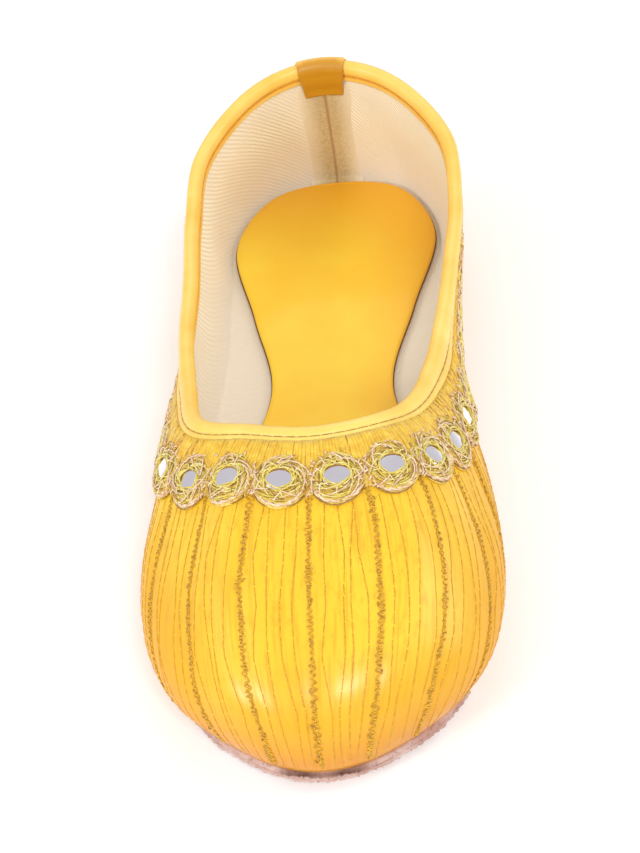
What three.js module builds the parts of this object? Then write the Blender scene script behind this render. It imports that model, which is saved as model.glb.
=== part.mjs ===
// A mojari: a flat slip-on shoe of yellow leather, with a border of small mirrors sewn round its collar.
// Millimetres. The toe points along -Y, +Z is up, and the sole stands on z = 0.
import * as THREE from 'three';

// Driving sizes of the shoe
const LENGTH = 243.5; // from the sole's tip to the back of the heel strip
const BALL_WIDTH = 82; // sole, across the ball
const HEEL_HEIGHT = 51.2; // collar edge above the floor at the heel back
const LEATHER = 2; // wall of the upper, with its lining
const GAP = 0.3; // left between two pieces that meet

// Outsole
const SOLE_THICKNESS = 3.6;
const TOE_SPRING = 4; // lift of the sole's tip
const TOE_SPRING_START = -80; // the sole is flat on the floor behind this place
const ARCH_LIFT = 1.5; // lift of the sole's underside at the waist
const ARCH_FROM = -25;
const ARCH_TO = 58;
const FEATHER_INSET = 0.8; // the upper springs from the sole this far inside its edge

// Insole
const INSOLE_THICKNESS = 1.8;
const INSOLE_EDGE = 0.6; // rounding of its upper edge
const MARGIN_LAP = 6; // the lasted margin of the upper reaches this far under the insole

// Collar binding: how far it reaches down the wall, and its thickness there and over the edge
const BINDING_OUTSIDE = 6.5;
const BINDING_THROAT = 3.4; // its outside reach across the throat
const BINDING_THROAT_END = 1.5; // in sections from the toe tip, and where the full reach begins
const BINDING_FULL_START = 4.5;
const BINDING_INSIDE = 4.2;
const BINDING_FLAT = 0.8;
const BINDING_ROLL = 0.9;
const BINDING_ROLL_REACH = 2;

// Heel strip
const STRIP_HALF_WIDTH = 7.6; // at the collar
const STRIP_FOOT_HALF_WIDTH = 5.8;
const STRIP_TAB_HALF_WIDTH = 6.6; // at its folded end
const STRIP_THICKNESS = 0.9;
const STRIP_FOLD = 9.5; // reach of its folded end inside the collar
const STRIP_RAMP = 3; // run in which it climbs over the binding's edge
const STRIP_ROWS = [0.92, 0.84, 0.76, 0.64, 0.5, 0.36]; // shares of its run up the wall, for its bends
const STRIP_COLUMNS = [-1, -0.5, 0, 0.5, 1]; // shares of its half width

// Mirror border
const BORDER_START = 0.5; // below the binding's edge
const BORDER_THICKNESS = 0.8;
const RING_DEPTH = 14.2; // the line of ring centres, below the collar edge
const RING_RADIUS = 6.4;
const SCALLOP_NOTCH = 3.4; // depth of border left below the ring line between two rings
const SCALLOP_DROP = 1.22; // the band's scallops hang longer than round by this share
const RINGS_PER_SIDE = 16; // from the middle of the throat to the heel border
const HEEL_RING_OFFSET = 21; // ring centres of a heel border, from the centre back
const LEG_RINGS = 3;
const LEG_PITCH = 8.8;
const LEG_FOOT = 2.5; // leg below its last ring centre
const MIRROR_RADIUS = 3.6;
const MIRROR_THICKNESS = 0.5;

// One row for each section, from toe tip to heel back: the -X side of the shoe mirrors it, except that
// its throat corner is cut wider: wideX, wideY and widePull are added to its collar and topPull there.
// Plan places of the sole's, insole's and collar's edges: x in half ball widths, y in half lengths.
// Heights and pulls are in heel heights. The wall leaves the sole at baseAngle, and falls away from
// the collar at topAngle, and each pull says how far its angle bends the wall.
const SECTION_COLUMNS = [
  'soleX', 'soleY', 'insoleX', 'insoleY', 'collarX', 'collarY', 'collarZ',
  'baseAngle', 'basePull', 'topAngle', 'topPull', 'wideX', 'wideY', 'widePull',
];
const SECTIONS = [
  // toe tip
  [0, -1, 0, -0.945, 0, -0.417, 0.928, 78, 0.49, 13, 0.78],
  // toe side
  [0.425, -0.946, 0.346, -0.891, 0.365, -0.383, 0.898, 68.5, 0.502, 17, 0.752],
  // toe corner
  [0.812, -0.798, 0.671, -0.748, 0.604, -0.293, 0.8, 48.5, 0.507, 46.5, 0.663, 0.117, -0.014, -0.192],
  // ball
  [0.998, -0.51, 0.829, -0.493, 0.738, -0.136, 0.713, 63.5, 0.329, 58.5, 0.412, 0.098, -0.016, -0.153],
  // fore waist
  [0.897, -0.161, 0.646, -0.213, 0.83, 0.041, 0.678, 72, 0.217, 86.5, 0.385, 0.083, 0, -0.019],
  // waist
  [0.813, 0.164, 0.42, 0.091, 0.902, 0.247, 0.674, 66, 0.25, 100, 0.24, 0.032],
  // rear waist
  [0.813, 0.46, 0.58, 0.378, 0.964, 0.476, 0.713, 62, 0.25, 102, 0.23],
  // heel side
  [0.829, 0.722, 0.761, 0.673, 0.907, 0.694, 0.82, 62, 0.273, 99, 0.273],
  // heel corner
  [0.524, 0.924, 0.51, 0.885, 0.524, 0.878, 0.947, 64, 0.273, 90, 0.313],
  // heel back
  [0, 0.984, 0, 0.938, 0, 0.941, 1, 70, 0.273, 84, 0.352],
].map((row) => Object.fromEntries(SECTION_COLUMNS.map((name, i) => [name, row[i] ?? 0])));
const HEEL = SECTIONS.length - 1; // the heel back's place in the round of sections
const ROUND = 2 * HEEL; // sections in the whole round

// How finely the solids are cut
const COLUMNS_PER_SECTION = 4;
const COLUMNS = ROUND * COLUMNS_PER_SECTION;
const WALL_ROWS = 10;
const RING_COLUMNS = 5;
const LEG_ROWS = 4; // for each ring of a heel border
const LEG_COLUMNS = [0, 1 / 3, 2 / 3, 1]; // shares of a heel border's width
const MIRROR_SIDES = 10;
const ARC_SAMPLES = 40;
const WALK_STEPS = 16; // of a section, for distances along the wall
const HEEL_WALK = 2; // sections on each side of the heel back
const PLACE_STEP = 0.002; // of a section, for directions
const DEPTH_STEP = 0.05;

const COLOURS = {
  leather: { color: '#f2b92f', roughness: 0.5 },
  binding: { color: '#f7d070', roughness: 0.5 },
  strip: { color: '#e2a52e', roughness: 0.5 },
  insole: { color: '#f7c23a', roughness: 0.55 },
  sole: { color: '#d9ab94', roughness: 0.85 },
  thread: { color: '#b99a3c', roughness: 0.55, metalness: 0.3 },
  mirror: { color: '#dcdbe6', roughness: 0.08, metalness: 1 },
};

// A smooth closed line through one place of each section, and of its mirror image on the -X side.
function roundLine(placeOf) {
  const half = SECTIONS.map((section) => placeOf(section, 0));
  const mirrored = SECTIONS.slice(1, HEEL).reverse().map((section) => placeOf(section, 1));
  const otherSide = mirrored.map((p) => new THREE.Vector3(-p.x, p.y, p.z));
  return new THREE.CatmullRomCurve3([...half, ...otherSide], true, 'catmullrom', 0.5);
}

const halfWidth = BALL_WIDTH / 2;
const halfLength = LENGTH / 2;
const soleLine = roundLine((s) => new THREE.Vector3(s.soleX * halfWidth, s.soleY * halfLength, 0));
const insoleLine = roundLine((s) => new THREE.Vector3(s.insoleX * halfWidth, s.insoleY * halfLength, 0));
const collarLine = roundLine((s, wide) => {
  const x = s.collarX + wide * s.wideX;
  const y = s.collarY + wide * s.wideY;
  return new THREE.Vector3(x * halfWidth, y * halfLength, s.collarZ * HEEL_HEIGHT);
});

// The bend of the wall at one of its ends: the angle in y, and the pull in z.
function bend(angle, pull) {
  return new THREE.Vector3(0, THREE.MathUtils.degToRad(angle), pull * HEEL_HEIGHT);
}
const baseBend = roundLine((s) => bend(s.baseAngle, s.basePull));
const topBend = roundLine((s, wide) => bend(s.topAngle, s.topPull + wide * s.widePull));

// A place is counted in sections round the shoe, from the toe tip.
function pointAt(line, place) {
  return line.getPoint(THREE.MathUtils.euclideanModulo(place, ROUND) / ROUND);
}

// Level direction out of the shoe, square to a line.
function outwardAt(line, place) {
  const ahead = pointAt(line, place + PLACE_STEP);
  const behind = pointAt(line, place - PLACE_STEP);
  return new THREE.Vector3(ahead.y - behind.y, behind.x - ahead.x, 0).normalize();
}

function inset(line, place, distance) {
  return pointAt(line, place).addScaledVector(outwardAt(line, place), -distance);
}

function toeLift(y) {
  const share = THREE.MathUtils.clamp((TOE_SPRING_START - y) / (halfLength + TOE_SPRING_START), 0, 1);
  return TOE_SPRING * share ** 2;
}

function archLift(y) {
  const share = THREE.MathUtils.clamp((y - ARCH_FROM) / (ARCH_TO - ARCH_FROM), 0, 1);
  return ARCH_LIFT * Math.sin(Math.PI * share) ** 2;
}

function soleTop(y) {
  return SOLE_THICKNESS + toeLift(y);
}

// The section of the wall's outer face, from the sole up to the collar.
function wallSection(place) {
  const foot = inset(soleLine, place, FEATHER_INSET);
  foot.z = soleTop(foot.y) + GAP;
  const base = pointAt(baseBend, place);
  const leaving = outwardAt(soleLine, place).multiplyScalar(Math.cos(base.y));
  leaving.z = Math.sin(base.y);
  const edge = pointAt(collarLine, place);
  const top = pointAt(topBend, place);
  const falling = outwardAt(collarLine, place).multiplyScalar(Math.cos(top.y));
  falling.z = -Math.sin(top.y);
  const low = foot.clone().addScaledVector(leaving, base.z);
  const high = edge.clone().addScaledVector(falling, top.z);
  const section = new THREE.CubicBezierCurve3(foot, low, high, edge);
  section.arcLengthDivisions = ARC_SAMPLES;
  return section;
}

// Depth is measured along the wall, down from the collar edge.
function wallPoint(place, depth) {
  const section = wallSection(place);
  return section.getPointAt(THREE.MathUtils.clamp(1 - depth / section.getLength(), 0, 1));
}

// Directions on the wall: up along it, and square out of it.
function wallFrame(place, depth) {
  const along = wallPoint(place + PLACE_STEP, depth).sub(wallPoint(place - PLACE_STEP, depth));
  const up = wallPoint(place, depth - DEPTH_STEP).sub(wallPoint(place, depth + DEPTH_STEP)).normalize();
  return { up, out: along.cross(up).normalize() };
}

// The three stretches of the leather's surface: outside, round the collar edge, and inside.
function outside(place, depth, lift) {
  return wallPoint(place, depth).addScaledVector(wallFrame(place, depth).out, lift);
}

function overEdge(place, angle, lift) {
  const { up, out } = wallFrame(place, 0);
  const radius = LEATHER / 2 + lift;
  const middle = wallPoint(place, 0).addScaledVector(out, -LEATHER / 2);
  return middle.addScaledVector(out, radius * Math.cos(angle)).addScaledVector(up, radius * Math.sin(angle));
}

function inside(place, depth, lift) {
  return outside(place, depth, -LEATHER - lift);
}

const EDGE_ANGLES = [1, 2, 3].map((step) => (step * Math.PI) / 4);

// A closed body from its vertices and triangles, with its faces turned outwards.
function body(points, triangles) {
  let volume = 0;
  for (const [a, b, c] of triangles) {
    volume += points[a].dot(points[b].clone().cross(points[c]));
  }
  const outwards = volume > 0 ? triangles : triangles.map(([a, b, c]) => [a, c, b]);
  const geometry = new THREE.BufferGeometry().setFromPoints(points);
  geometry.setIndex(outwards.flat());
  geometry.computeVertexNormals();
  return geometry;
}

function quad(a, b, c, d) {
  return [[a, b, c], [a, c, d]];
}

// A body swept round the shoe: each ring is a closed section, and the last ring joins the first.
function sweptRound(ringAt) {
  const rings = Array.from({ length: COLUMNS }, (_, column) => ringAt(column / COLUMNS_PER_SECTION));
  const size = rings[0].length;
  const triangles = [];
  for (let column = 0; column < COLUMNS; column += 1) {
    const here = column * size;
    const next = ((column + 1) % COLUMNS) * size;
    for (let i = 0; i < size; i += 1) {
      const j = (i + 1) % size;
      triangles.push(...quad(here + i, next + i, next + j, here + j));
    }
  }
  return body(rings.flat(), triangles);
}

// A flat body from a stack of like outlines, filled across at its first and last outline.
function stacked(outlineAt, layers) {
  const places = Array.from({ length: COLUMNS }, (_, column) => column / COLUMNS_PER_SECTION);
  const points = layers.flatMap((layer) => places.map((place) => outlineAt(place, layer)));
  const triangles = [];
  for (let layer = 0; layer + 1 < layers.length; layer += 1) {
    const low = layer * COLUMNS;
    for (let i = 0; i < COLUMNS; i += 1) {
      const j = (i + 1) % COLUMNS;
      triangles.push(...quad(low + i, low + j, low + COLUMNS + j, low + COLUMNS + i));
    }
  }
  const last = (layers.length - 1) * COLUMNS;
  for (let i = 0; i < COLUMNS / 2; i += 1) {
    const strip = quad(i, (COLUMNS - i) % COLUMNS, COLUMNS - i - 1, i + 1);
    const wide = strip.filter((t) => new Set(t).size === 3);
    triangles.push(...wide, ...wide.map((t) => t.map((v) => last + v).reverse()));
  }
  return body(points, triangles);
}

// A patch of sheet: its face and its back are grids of like size, joined round their edges.
function patch(face, back) {
  const rows = face.length;
  const columns = face[0].length;
  const backStart = rows * columns;
  const at = (row, column) => row * columns + column;
  const triangles = [];
  for (let row = 0; row + 1 < rows; row += 1) {
    for (let column = 0; column + 1 < columns; column += 1) {
      const corners = [at(row, column), at(row, column + 1), at(row + 1, column + 1), at(row + 1, column)];
      triangles.push(...quad(...corners), ...quad(...corners.map((v) => v + backStart).reverse()));
    }
  }
  const rim = [];
  for (let column = 0; column + 1 < columns; column += 1) rim.push(at(0, column));
  for (let row = 0; row + 1 < rows; row += 1) rim.push(at(row, columns - 1));
  for (let column = columns - 1; column > 0; column -= 1) rim.push(at(rows - 1, column));
  for (let row = rows - 1; row > 0; row -= 1) rim.push(at(row, 0));
  rim.forEach((v, i) => {
    const next = rim[(i + 1) % rim.length];
    triangles.push(...quad(next, v, v + backStart, next + backStart));
  });
  return body([...face.flat(), ...back.flat()], triangles);
}

// Runs along the wall at one depth, from one place to another, and gives the place at a given run.
function walk(depth, from, to) {
  const steps = Math.ceil(Math.abs(to - from) * WALK_STEPS);
  const stops = [];
  let run = 0;
  let previous = null;
  for (let i = 0; i <= steps; i += 1) {
    const place = THREE.MathUtils.lerp(from, to, i / steps);
    const point = wallPoint(place, depth);
    if (previous) run += point.distanceTo(previous);
    stops.push({ place, run });
    previous = point;
  }
  const placeAt = (wanted) => {
    const after = Math.max(1, stops.findIndex((stop, i) => i > 0 && stop.run >= wanted));
    const a = stops[after - 1];
    const b = stops[after];
    return THREE.MathUtils.mapLinear(wanted, a.run, b.run, a.place, b.place);
  };
  return { length: run, placeAt };
}

// The place at a distance beside the centre back: side is 1 or -1.
function besideHeel(depth, distance, side) {
  if (distance === 0) return HEEL;
  return walk(depth, HEEL, HEEL - HEEL_WALK * side).placeAt(distance);
}

function upper() {
  return sweptRound((place) => {
    const length = wallSection(place).getLength();
    const depths = Array.from({ length: WALL_ROWS + 1 }, (_, row) => length * (1 - row / WALL_ROWS));
    const outer = depths.map((depth) => wallPoint(place, depth));
    const edge = EDGE_ANGLES.map((angle) => overEdge(place, angle, 0));
    const inner = depths.reverse().map((depth) => {
      const point = inside(place, depth, 0);
      point.z = Math.max(point.z, soleTop(point.y) + GAP + LEATHER);
      return point;
    });
    const marginEdge = inset(insoleLine, place, MARGIN_LAP);
    const margin = [GAP + LEATHER, GAP].map((rise) => marginEdge.clone().setZ(soleTop(marginEdge.y) + rise));
    return [...outer, ...edge, ...inner, ...margin];
  });
}

// Each layer of the sole's side: how far inside the edge, and its share of the thickness.
const SOLE_SIDE = [
  { inside: 1, rise: 0 },
  { inside: 0.1, rise: 0.16 },
  { inside: 0, rise: 0.44 },
  { inside: 0.6, rise: 0.5 },
  { inside: 0, rise: 0.56 },
  { inside: 0.1, rise: 0.86 },
  { inside: 0.8, rise: 1 },
];

function outsole() {
  return stacked((place, layer) => {
    const point = inset(soleLine, place, layer.inside);
    const under = toeLift(point.y) + archLift(point.y);
    point.z = THREE.MathUtils.lerp(under, soleTop(point.y), layer.rise);
    return point;
  }, SOLE_SIDE);
}

// The insole lies on the lasted margin, and its thicker middle comes down to the sole.
function insole() {
  const seat = GAP + LEATHER + GAP;
  const plug = MARGIN_LAP + GAP;
  const layers = [
    { inside: INSOLE_EDGE, rise: seat + INSOLE_THICKNESS },
    { inside: 0, rise: seat + INSOLE_THICKNESS - INSOLE_EDGE },
    { inside: 0, rise: seat },
    { inside: plug, rise: seat },
    { inside: plug, rise: GAP },
  ];
  return stacked((place, layer) => {
    const point = inset(insoleLine, place, layer.inside);
    return point.setZ(soleTop(point.y) + layer.rise);
  }, layers);
}

// How far the binding reaches down the outside of the wall: less across the throat than elsewhere.
function bindingReach(place) {
  const fromToe = HEEL - Math.abs(THREE.MathUtils.euclideanModulo(place, ROUND) - HEEL);
  const share = THREE.MathUtils.smoothstep(fromToe, BINDING_THROAT_END, BINDING_FULL_START);
  return THREE.MathUtils.lerp(BINDING_THROAT, BINDING_OUTSIDE, share);
}

function collarBinding() {
  const flat = GAP + BINDING_FLAT;
  const roll = GAP + BINDING_ROLL;
  return sweptRound((place) => [
    outside(place, bindingReach(place), flat),
    outside(place, BINDING_ROLL_REACH, flat),
    ...EDGE_ANGLES.map((angle) => overEdge(place, angle, roll)),
    inside(place, BINDING_ROLL_REACH, flat),
    inside(place, BINDING_INSIDE, flat),
    inside(place, BINDING_INSIDE, GAP),
    inside(place, 0, GAP),
    ...EDGE_ANGLES.map((angle) => overEdge(place, Math.PI - angle, GAP)),
    outside(place, 0, GAP),
    outside(place, bindingReach(place) / 2, GAP),
    outside(place, bindingReach(place), GAP),
  ]);
}

// The strip lies on the wall, and climbs over the binding at the collar.
function heelStrip() {
  const onWall = GAP;
  const onFlat = GAP + BINDING_FLAT + GAP;
  const onRoll = GAP + BINDING_ROLL + GAP;
  const foot = wallSection(HEEL).getLength() - 2 * GAP;
  const climb = BINDING_OUTSIDE + GAP;
  const rows = [
    { stretch: outside, at: foot, lift: onWall },
    ...STRIP_ROWS.map((share) => ({ stretch: outside, at: foot * share, lift: onWall })),
    { stretch: outside, at: climb + STRIP_RAMP, lift: onWall },
    { stretch: outside, at: climb, lift: onFlat },
    { stretch: outside, at: BINDING_ROLL_REACH, lift: onFlat },
    ...EDGE_ANGLES.map((angle) => ({ stretch: overEdge, at: angle, lift: onRoll })),
    { stretch: inside, at: BINDING_ROLL_REACH, lift: onFlat },
    { stretch: inside, at: BINDING_INSIDE + GAP, lift: onFlat },
    { stretch: inside, at: STRIP_FOLD, lift: onWall },
  ];
  const sheet = (thickness) => rows.map(({ stretch, at, lift }) => {
    const depth = stretch === overEdge ? 0 : at;
    const half = stretch === inside
      ? THREE.MathUtils.lerp(STRIP_HALF_WIDTH, STRIP_TAB_HALF_WIDTH, depth / STRIP_FOLD)
      : THREE.MathUtils.lerp(STRIP_HALF_WIDTH, STRIP_FOOT_HALF_WIDTH, depth / foot);
    return STRIP_COLUMNS.map((share) => {
      const place = besideHeel(depth, half * Math.abs(share), Math.sign(share));
      return stretch(place, at, lift + thickness);
    });
  });
  return patch(sheet(STRIP_THICKNESS), sheet(0));
}

const ringRun = walk(RING_DEPTH, 0, HEEL);
const wideRingRun = walk(RING_DEPTH, 0, -HEEL);
const ringPitch = (ringRun.length - HEEL_RING_OFFSET) / (RINGS_PER_SIDE - 0.5);

// The rings of each side start half a pitch from the middle of the throat.
function ringMiddle(ring) {
  return (ring + 0.5) * ringPitch;
}

// Border left below the ring line, at a distance from the nearest ring centre.
function scallop(distance) {
  return Math.max(SCALLOP_NOTCH, Math.sqrt(Math.max(0, RING_RADIUS ** 2 - distance ** 2)));
}

// The place at a run from the middle of the throat: runs below 0 are spread along the -X side.
function ringPlace(run) {
  if (run >= 0) return ringRun.placeAt(run);
  return wideRingRun.placeAt(-run * (wideRingRun.length / ringRun.length));
}

function borderSheets(gridAt) {
  return patch(gridAt(GAP + BORDER_THICKNESS), gridAt(GAP));
}

// The band round the collar: its lower edge is scalloped under each ring, up to the heel borders.
function mirrorBorder() {
  const end = ringRun.length - STRIP_HALF_WIDTH - GAP;
  const legEdge = ringRun.length - HEEL_RING_OFFSET;
  const half = [];
  for (let step = 1; step * (ringPitch / RING_COLUMNS) < legEdge; step += 1) {
    half.push(step * (ringPitch / RING_COLUMNS));
  }
  half.push(legEdge, (legEdge + end) / 2, end);
  const runs = [...half.map((run) => -run).reverse(), 0, ...half];
  return borderSheets((lift) => {
    const columns = runs.map((run) => {
      const fromRing = Math.abs(run) - ringMiddle(Math.floor(Math.abs(run) / ringPitch));
      const below = SCALLOP_DROP * (Math.abs(run) < legEdge ? scallop(fromRing) : RING_RADIUS);
      const top = bindingReach(ringPlace(run)) + BORDER_START;
      return [top, RING_DEPTH, RING_DEPTH + below].map((depth) => ({ run, depth }));
    });
    return [0, 1, 2].map((row) => columns.map((column) => {
      const { run, depth } = column[row];
      return outside(ringPlace(run), depth, lift);
    }));
  });
}

const legTop = RING_DEPTH + SCALLOP_DROP * RING_RADIUS + GAP;
const legBottom = RING_DEPTH + LEG_RINGS * LEG_PITCH + LEG_FOOT;

// A leg of the band, down beside the heel strip: its forward edge is scalloped.
function heelBorder(side) {
  const rowCount = LEG_RINGS * LEG_ROWS;
  const rows = Array.from({ length: rowCount + 1 }, (_, row) => {
    return THREE.MathUtils.lerp(legTop, legBottom, row / rowCount);
  });
  const stripEdge = STRIP_HALF_WIDTH + GAP;
  return borderSheets((lift) => rows.map((depth) => {
    const fromRing = (depth - RING_DEPTH) - LEG_PITCH * Math.round((depth - RING_DEPTH) / LEG_PITCH);
    const forward = HEEL_RING_OFFSET + scallop(fromRing);
    return LEG_COLUMNS.map((share) => {
      const place = besideHeel(depth, THREE.MathUtils.lerp(stripEdge, forward, share), side);
      return outside(place, depth, lift);
    });
  }));
}

// Every mirror's place: round the collar from one heel corner to the other, then down the two legs.
function mirrorPlaces() {
  const places = [];
  for (let ring = -RINGS_PER_SIDE; ring < RINGS_PER_SIDE; ring += 1) {
    places.push({ place: ringPlace(ringMiddle(ring)), depth: RING_DEPTH });
  }
  for (const side of [-1, 1]) {
    for (let ring = 1; ring <= LEG_RINGS; ring += 1) {
      const depth = RING_DEPTH + ring * LEG_PITCH;
      places.push({ place: besideHeel(depth, HEEL_RING_OFFSET, side), depth });
    }
  }
  return places;
}

const shoe = new THREE.Group();

function addPiece(name, geometry, colour) {
  const mesh = new THREE.Mesh(geometry, new THREE.MeshStandardMaterial(colour));
  mesh.name = name;
  shoe.add(mesh);
  return mesh;
}

addPiece('outsole', outsole(), COLOURS.sole);
addPiece('insole', insole(), COLOURS.insole);
addPiece('upper', upper(), COLOURS.leather);
addPiece('collar_binding', collarBinding(), COLOURS.binding);
addPiece('heel_strip', heelStrip(), COLOURS.strip);
addPiece('mirror_border', mirrorBorder(), COLOURS.thread);
addPiece('heel_border_left', heelBorder(1), COLOURS.thread);
addPiece('heel_border_right', heelBorder(-1), COLOURS.thread);

const mirrorLift = GAP + BORDER_THICKNESS + GAP + MIRROR_THICKNESS / 2;
mirrorPlaces().forEach(({ place, depth }, i) => {
  const disc = new THREE.CylinderGeometry(MIRROR_RADIUS, MIRROR_RADIUS, MIRROR_THICKNESS, MIRROR_SIDES);
  const mirror = addPiece(`mirror_${String(i + 1).padStart(2, '0')}`, disc, COLOURS.mirror);
  mirror.position.copy(outside(place, depth, mirrorLift));
  mirror.quaternion.setFromUnitVectors(new THREE.Vector3(0, 1, 0), wallFrame(place, depth).out);
});

export default shoe;
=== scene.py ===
import math

import bpy
import numpy as np
from mathutils import Matrix, Vector


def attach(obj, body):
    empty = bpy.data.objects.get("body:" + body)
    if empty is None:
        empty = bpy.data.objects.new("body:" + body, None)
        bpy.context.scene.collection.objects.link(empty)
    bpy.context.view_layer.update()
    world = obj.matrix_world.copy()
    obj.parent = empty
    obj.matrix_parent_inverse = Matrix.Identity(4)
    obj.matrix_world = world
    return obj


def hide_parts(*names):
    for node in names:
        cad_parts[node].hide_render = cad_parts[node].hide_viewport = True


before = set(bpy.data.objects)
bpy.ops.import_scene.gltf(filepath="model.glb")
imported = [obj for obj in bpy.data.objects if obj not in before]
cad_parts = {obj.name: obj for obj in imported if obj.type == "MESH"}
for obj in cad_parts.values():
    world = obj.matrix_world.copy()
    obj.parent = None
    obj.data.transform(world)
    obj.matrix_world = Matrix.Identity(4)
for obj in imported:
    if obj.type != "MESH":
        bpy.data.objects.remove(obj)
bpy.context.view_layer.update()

# Outsole
# One thick cut of raw, undyed leather, shaped to the last, with a lumpy hand-trimmed edge.
# Two layers are pasted together, so a fine groove runs round its side, and the toe turns up a little.
MM = 0.001
HALF_LENGTH = 121.75
HALF_BALL = 41.0
SOLE_THICKNESS = 3.6
TOE_SPRING = 4.0
TOE_SPRING_START = -80.0
ARCH_LIFT = 1.5
ARCH_RANGE = (-25.0, 58.0)
SOLE_COLUMNS = 720
UNDERSIDE_ROWS = 12
# x in half ball widths and y in half lengths, from the toe tip to the heel back
SOLE_EDGE = np.array([
    (0, -1), (0.425, -0.946), (0.812, -0.798), (0.998, -0.51), (0.897, -0.161),
    (0.813, 0.164), (0.813, 0.46), (0.829, 0.722), (0.524, 0.924), (0, 0.984),
])
# share of the thickness, inset from the edge and lumpiness, from the underside's rim to the top's
SOLE_SIDE = (
    (0.00, 2.6, 0.0), (0.00, 1.3, 0.3), (0.06, 0.6, 0.8), (0.16, 0.2, 1.2), (0.28, 0.1, 1.0),
    (0.38, 0.1, 0.9), (0.45, 0.3, 0.6), (0.50, 0.75, 0.5), (0.55, 0.35, 0.7), (0.62, 0.1, 1.0),
    (0.74, 0.1, 1.2), (0.86, 0.3, 1.0), (0.95, 0.6, 0.6), (1.00, 1.2, 0.2), (1.00, 4.5, 0.0),
)
# how far inside the cut edge the lumps have their middle, and the least that is trimmed off
TRIM, LEAST_TRIM = 0.3, 0.02
# size, counts round the shoe and draw of the trimmed lumps, on the lower layer and on the upper one
LOWER_LUMPS = ((0.42, (31, 47, 83, 120), 3), (0.3, (170, 233, 301), 4))
UPPER_LUMPS = ((0.36, (37, 59, 91, 133), 5), (0.28, (181, 247, 322), 6))
# share of its height that the side loses where the toe's seam gapes, and the reach of that in sections
GAPE, GAPE_REACH = 0.45, 0.45
HEEL = len(SOLE_EDGE) - 1
ROUND = 2 * HEEL


def colour(red, green, blue):
    """A colour given in screen values, as the shader's linear numbers."""
    screen = np.array([red, green, blue]) / 255
    linear = np.where(screen <= 0.04045, screen / 12.92, ((screen + 0.055) / 1.055) ** 2.4)
    return (*linear, 1.0)


def round_rows(half, wide=0.0):
    """Adds the other side of the shoe: the same rows backwards, wider where asked, with x turned over."""
    other = (half + wide)[HEEL - 1:0:-1]
    other[:, 0] *= -1
    return np.vstack([half, other])


def round_line(rows, place):
    """Smooth closed line through the rows; a place counts sections round from the toe tip."""
    place = np.asarray(place, float) % ROUND
    i = np.floor(place).astype(int)
    t = (place - i)[..., None]
    before, here, after, beyond = (rows[(i + k) % ROUND] for k in (-1, 0, 1, 2))
    bend = 2 * before - 5 * here + 4 * after - beyond
    twist = 3 * here - before - 3 * after + beyond
    return 0.5 * (2 * here + (after - before) * t + bend * t ** 2 + twist * t ** 3)


def places_round(columns):
    return np.arange(columns) * ROUND / columns


def from_toe(place):
    """Sections from the toe tip to a place, below 0 on the -X side."""
    return (np.asarray(place, float) + HEEL) % ROUND - HEEL


def unit(vectors):
    return vectors / np.linalg.norm(vectors, axis=-1, keepdims=True)


def outward(rows, place, step=0.002):
    """Level direction square out of a line round the shoe."""
    ahead = round_line(rows, np.asarray(place) + step)
    behind = round_line(rows, np.asarray(place) - step)
    return unit(np.stack([ahead[..., 1] - behind[..., 1], behind[..., 0] - ahead[..., 0]], -1))


def toe_lift(y):
    share = np.clip((TOE_SPRING_START - y) / (HALF_LENGTH + TOE_SPRING_START), 0, 1)
    return TOE_SPRING * share ** 2


def sole_top(y):
    return SOLE_THICKNESS + toe_lift(y)


def waves(place, counts, seed):
    """Smooth uneven wave round the shoe, about -1 to 1."""
    draw = np.random.default_rng(seed)
    total = 0
    for count in counts:
        total = total + draw.uniform(0.5, 1) * np.sin(2 * np.pi * (place / ROUND * count + draw.random()))
    return total / len(counts)


def lumps(place, layers):
    """The unevenness of hand work: waves of several sizes, added up."""
    return sum(size * waves(place, counts, seed) for size, counts, seed in layers)


def grid_faces(rows, columns, close_rows=False, close_columns=False, start=0):
    """Four-cornered faces over a grid of points, numbered row by row."""
    r = np.arange(rows if close_rows else rows - 1)
    c = np.arange(columns if close_columns else columns - 1)
    r, c = np.meshgrid(r, c, indexing="ij")
    r2, c2 = (r + 1) % rows, (c + 1) % columns
    corners = [r * columns + c, r * columns + c2, r2 * columns + c2, r2 * columns + c]
    return np.stack(corners, -1).reshape(-1, 4) + start


def make_piece(name, finishes, points, faces, cut=None, finish_of=None):
    """A mesh piece from points in millimetres and groups of faces with equal corners.
    cut gives each point its place on the flat cut piece: in millimetres, or across a strip in shares."""
    mesh = bpy.data.meshes.new(name)
    corners = np.concatenate([group.ravel() for group in faces]).astype(np.int32)
    counts = np.concatenate([np.full(len(group), group.shape[1]) for group in faces])
    mesh.vertices.add(len(points))
    mesh.vertices.foreach_set("co", (np.asarray(points) * MM).astype(np.float32).ravel())
    mesh.loops.add(len(corners))
    mesh.loops.foreach_set("vertex_index", corners)
    mesh.polygons.add(len(counts))
    mesh.polygons.foreach_set("loop_start", (np.cumsum(counts) - counts).astype(np.int32))
    mesh.polygons.foreach_set("use_smooth", np.ones(len(counts), bool))
    if finish_of is not None:
        mesh.polygons.foreach_set("material_index", finish_of.astype(np.int32))
    if cut is not None:
        layer = mesh.uv_layers.new(name="cut")
        layer.data.foreach_set("uv", np.asarray(cut, np.float32)[corners].ravel())
    mesh.update(calc_edges=True)
    mesh.validate()
    for finish in finishes:
        mesh.materials.append(finish.material)
    piece = bpy.data.objects.new(name, mesh)
    bpy.context.collection.objects.link(piece)
    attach(piece, "root")
    return piece


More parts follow.
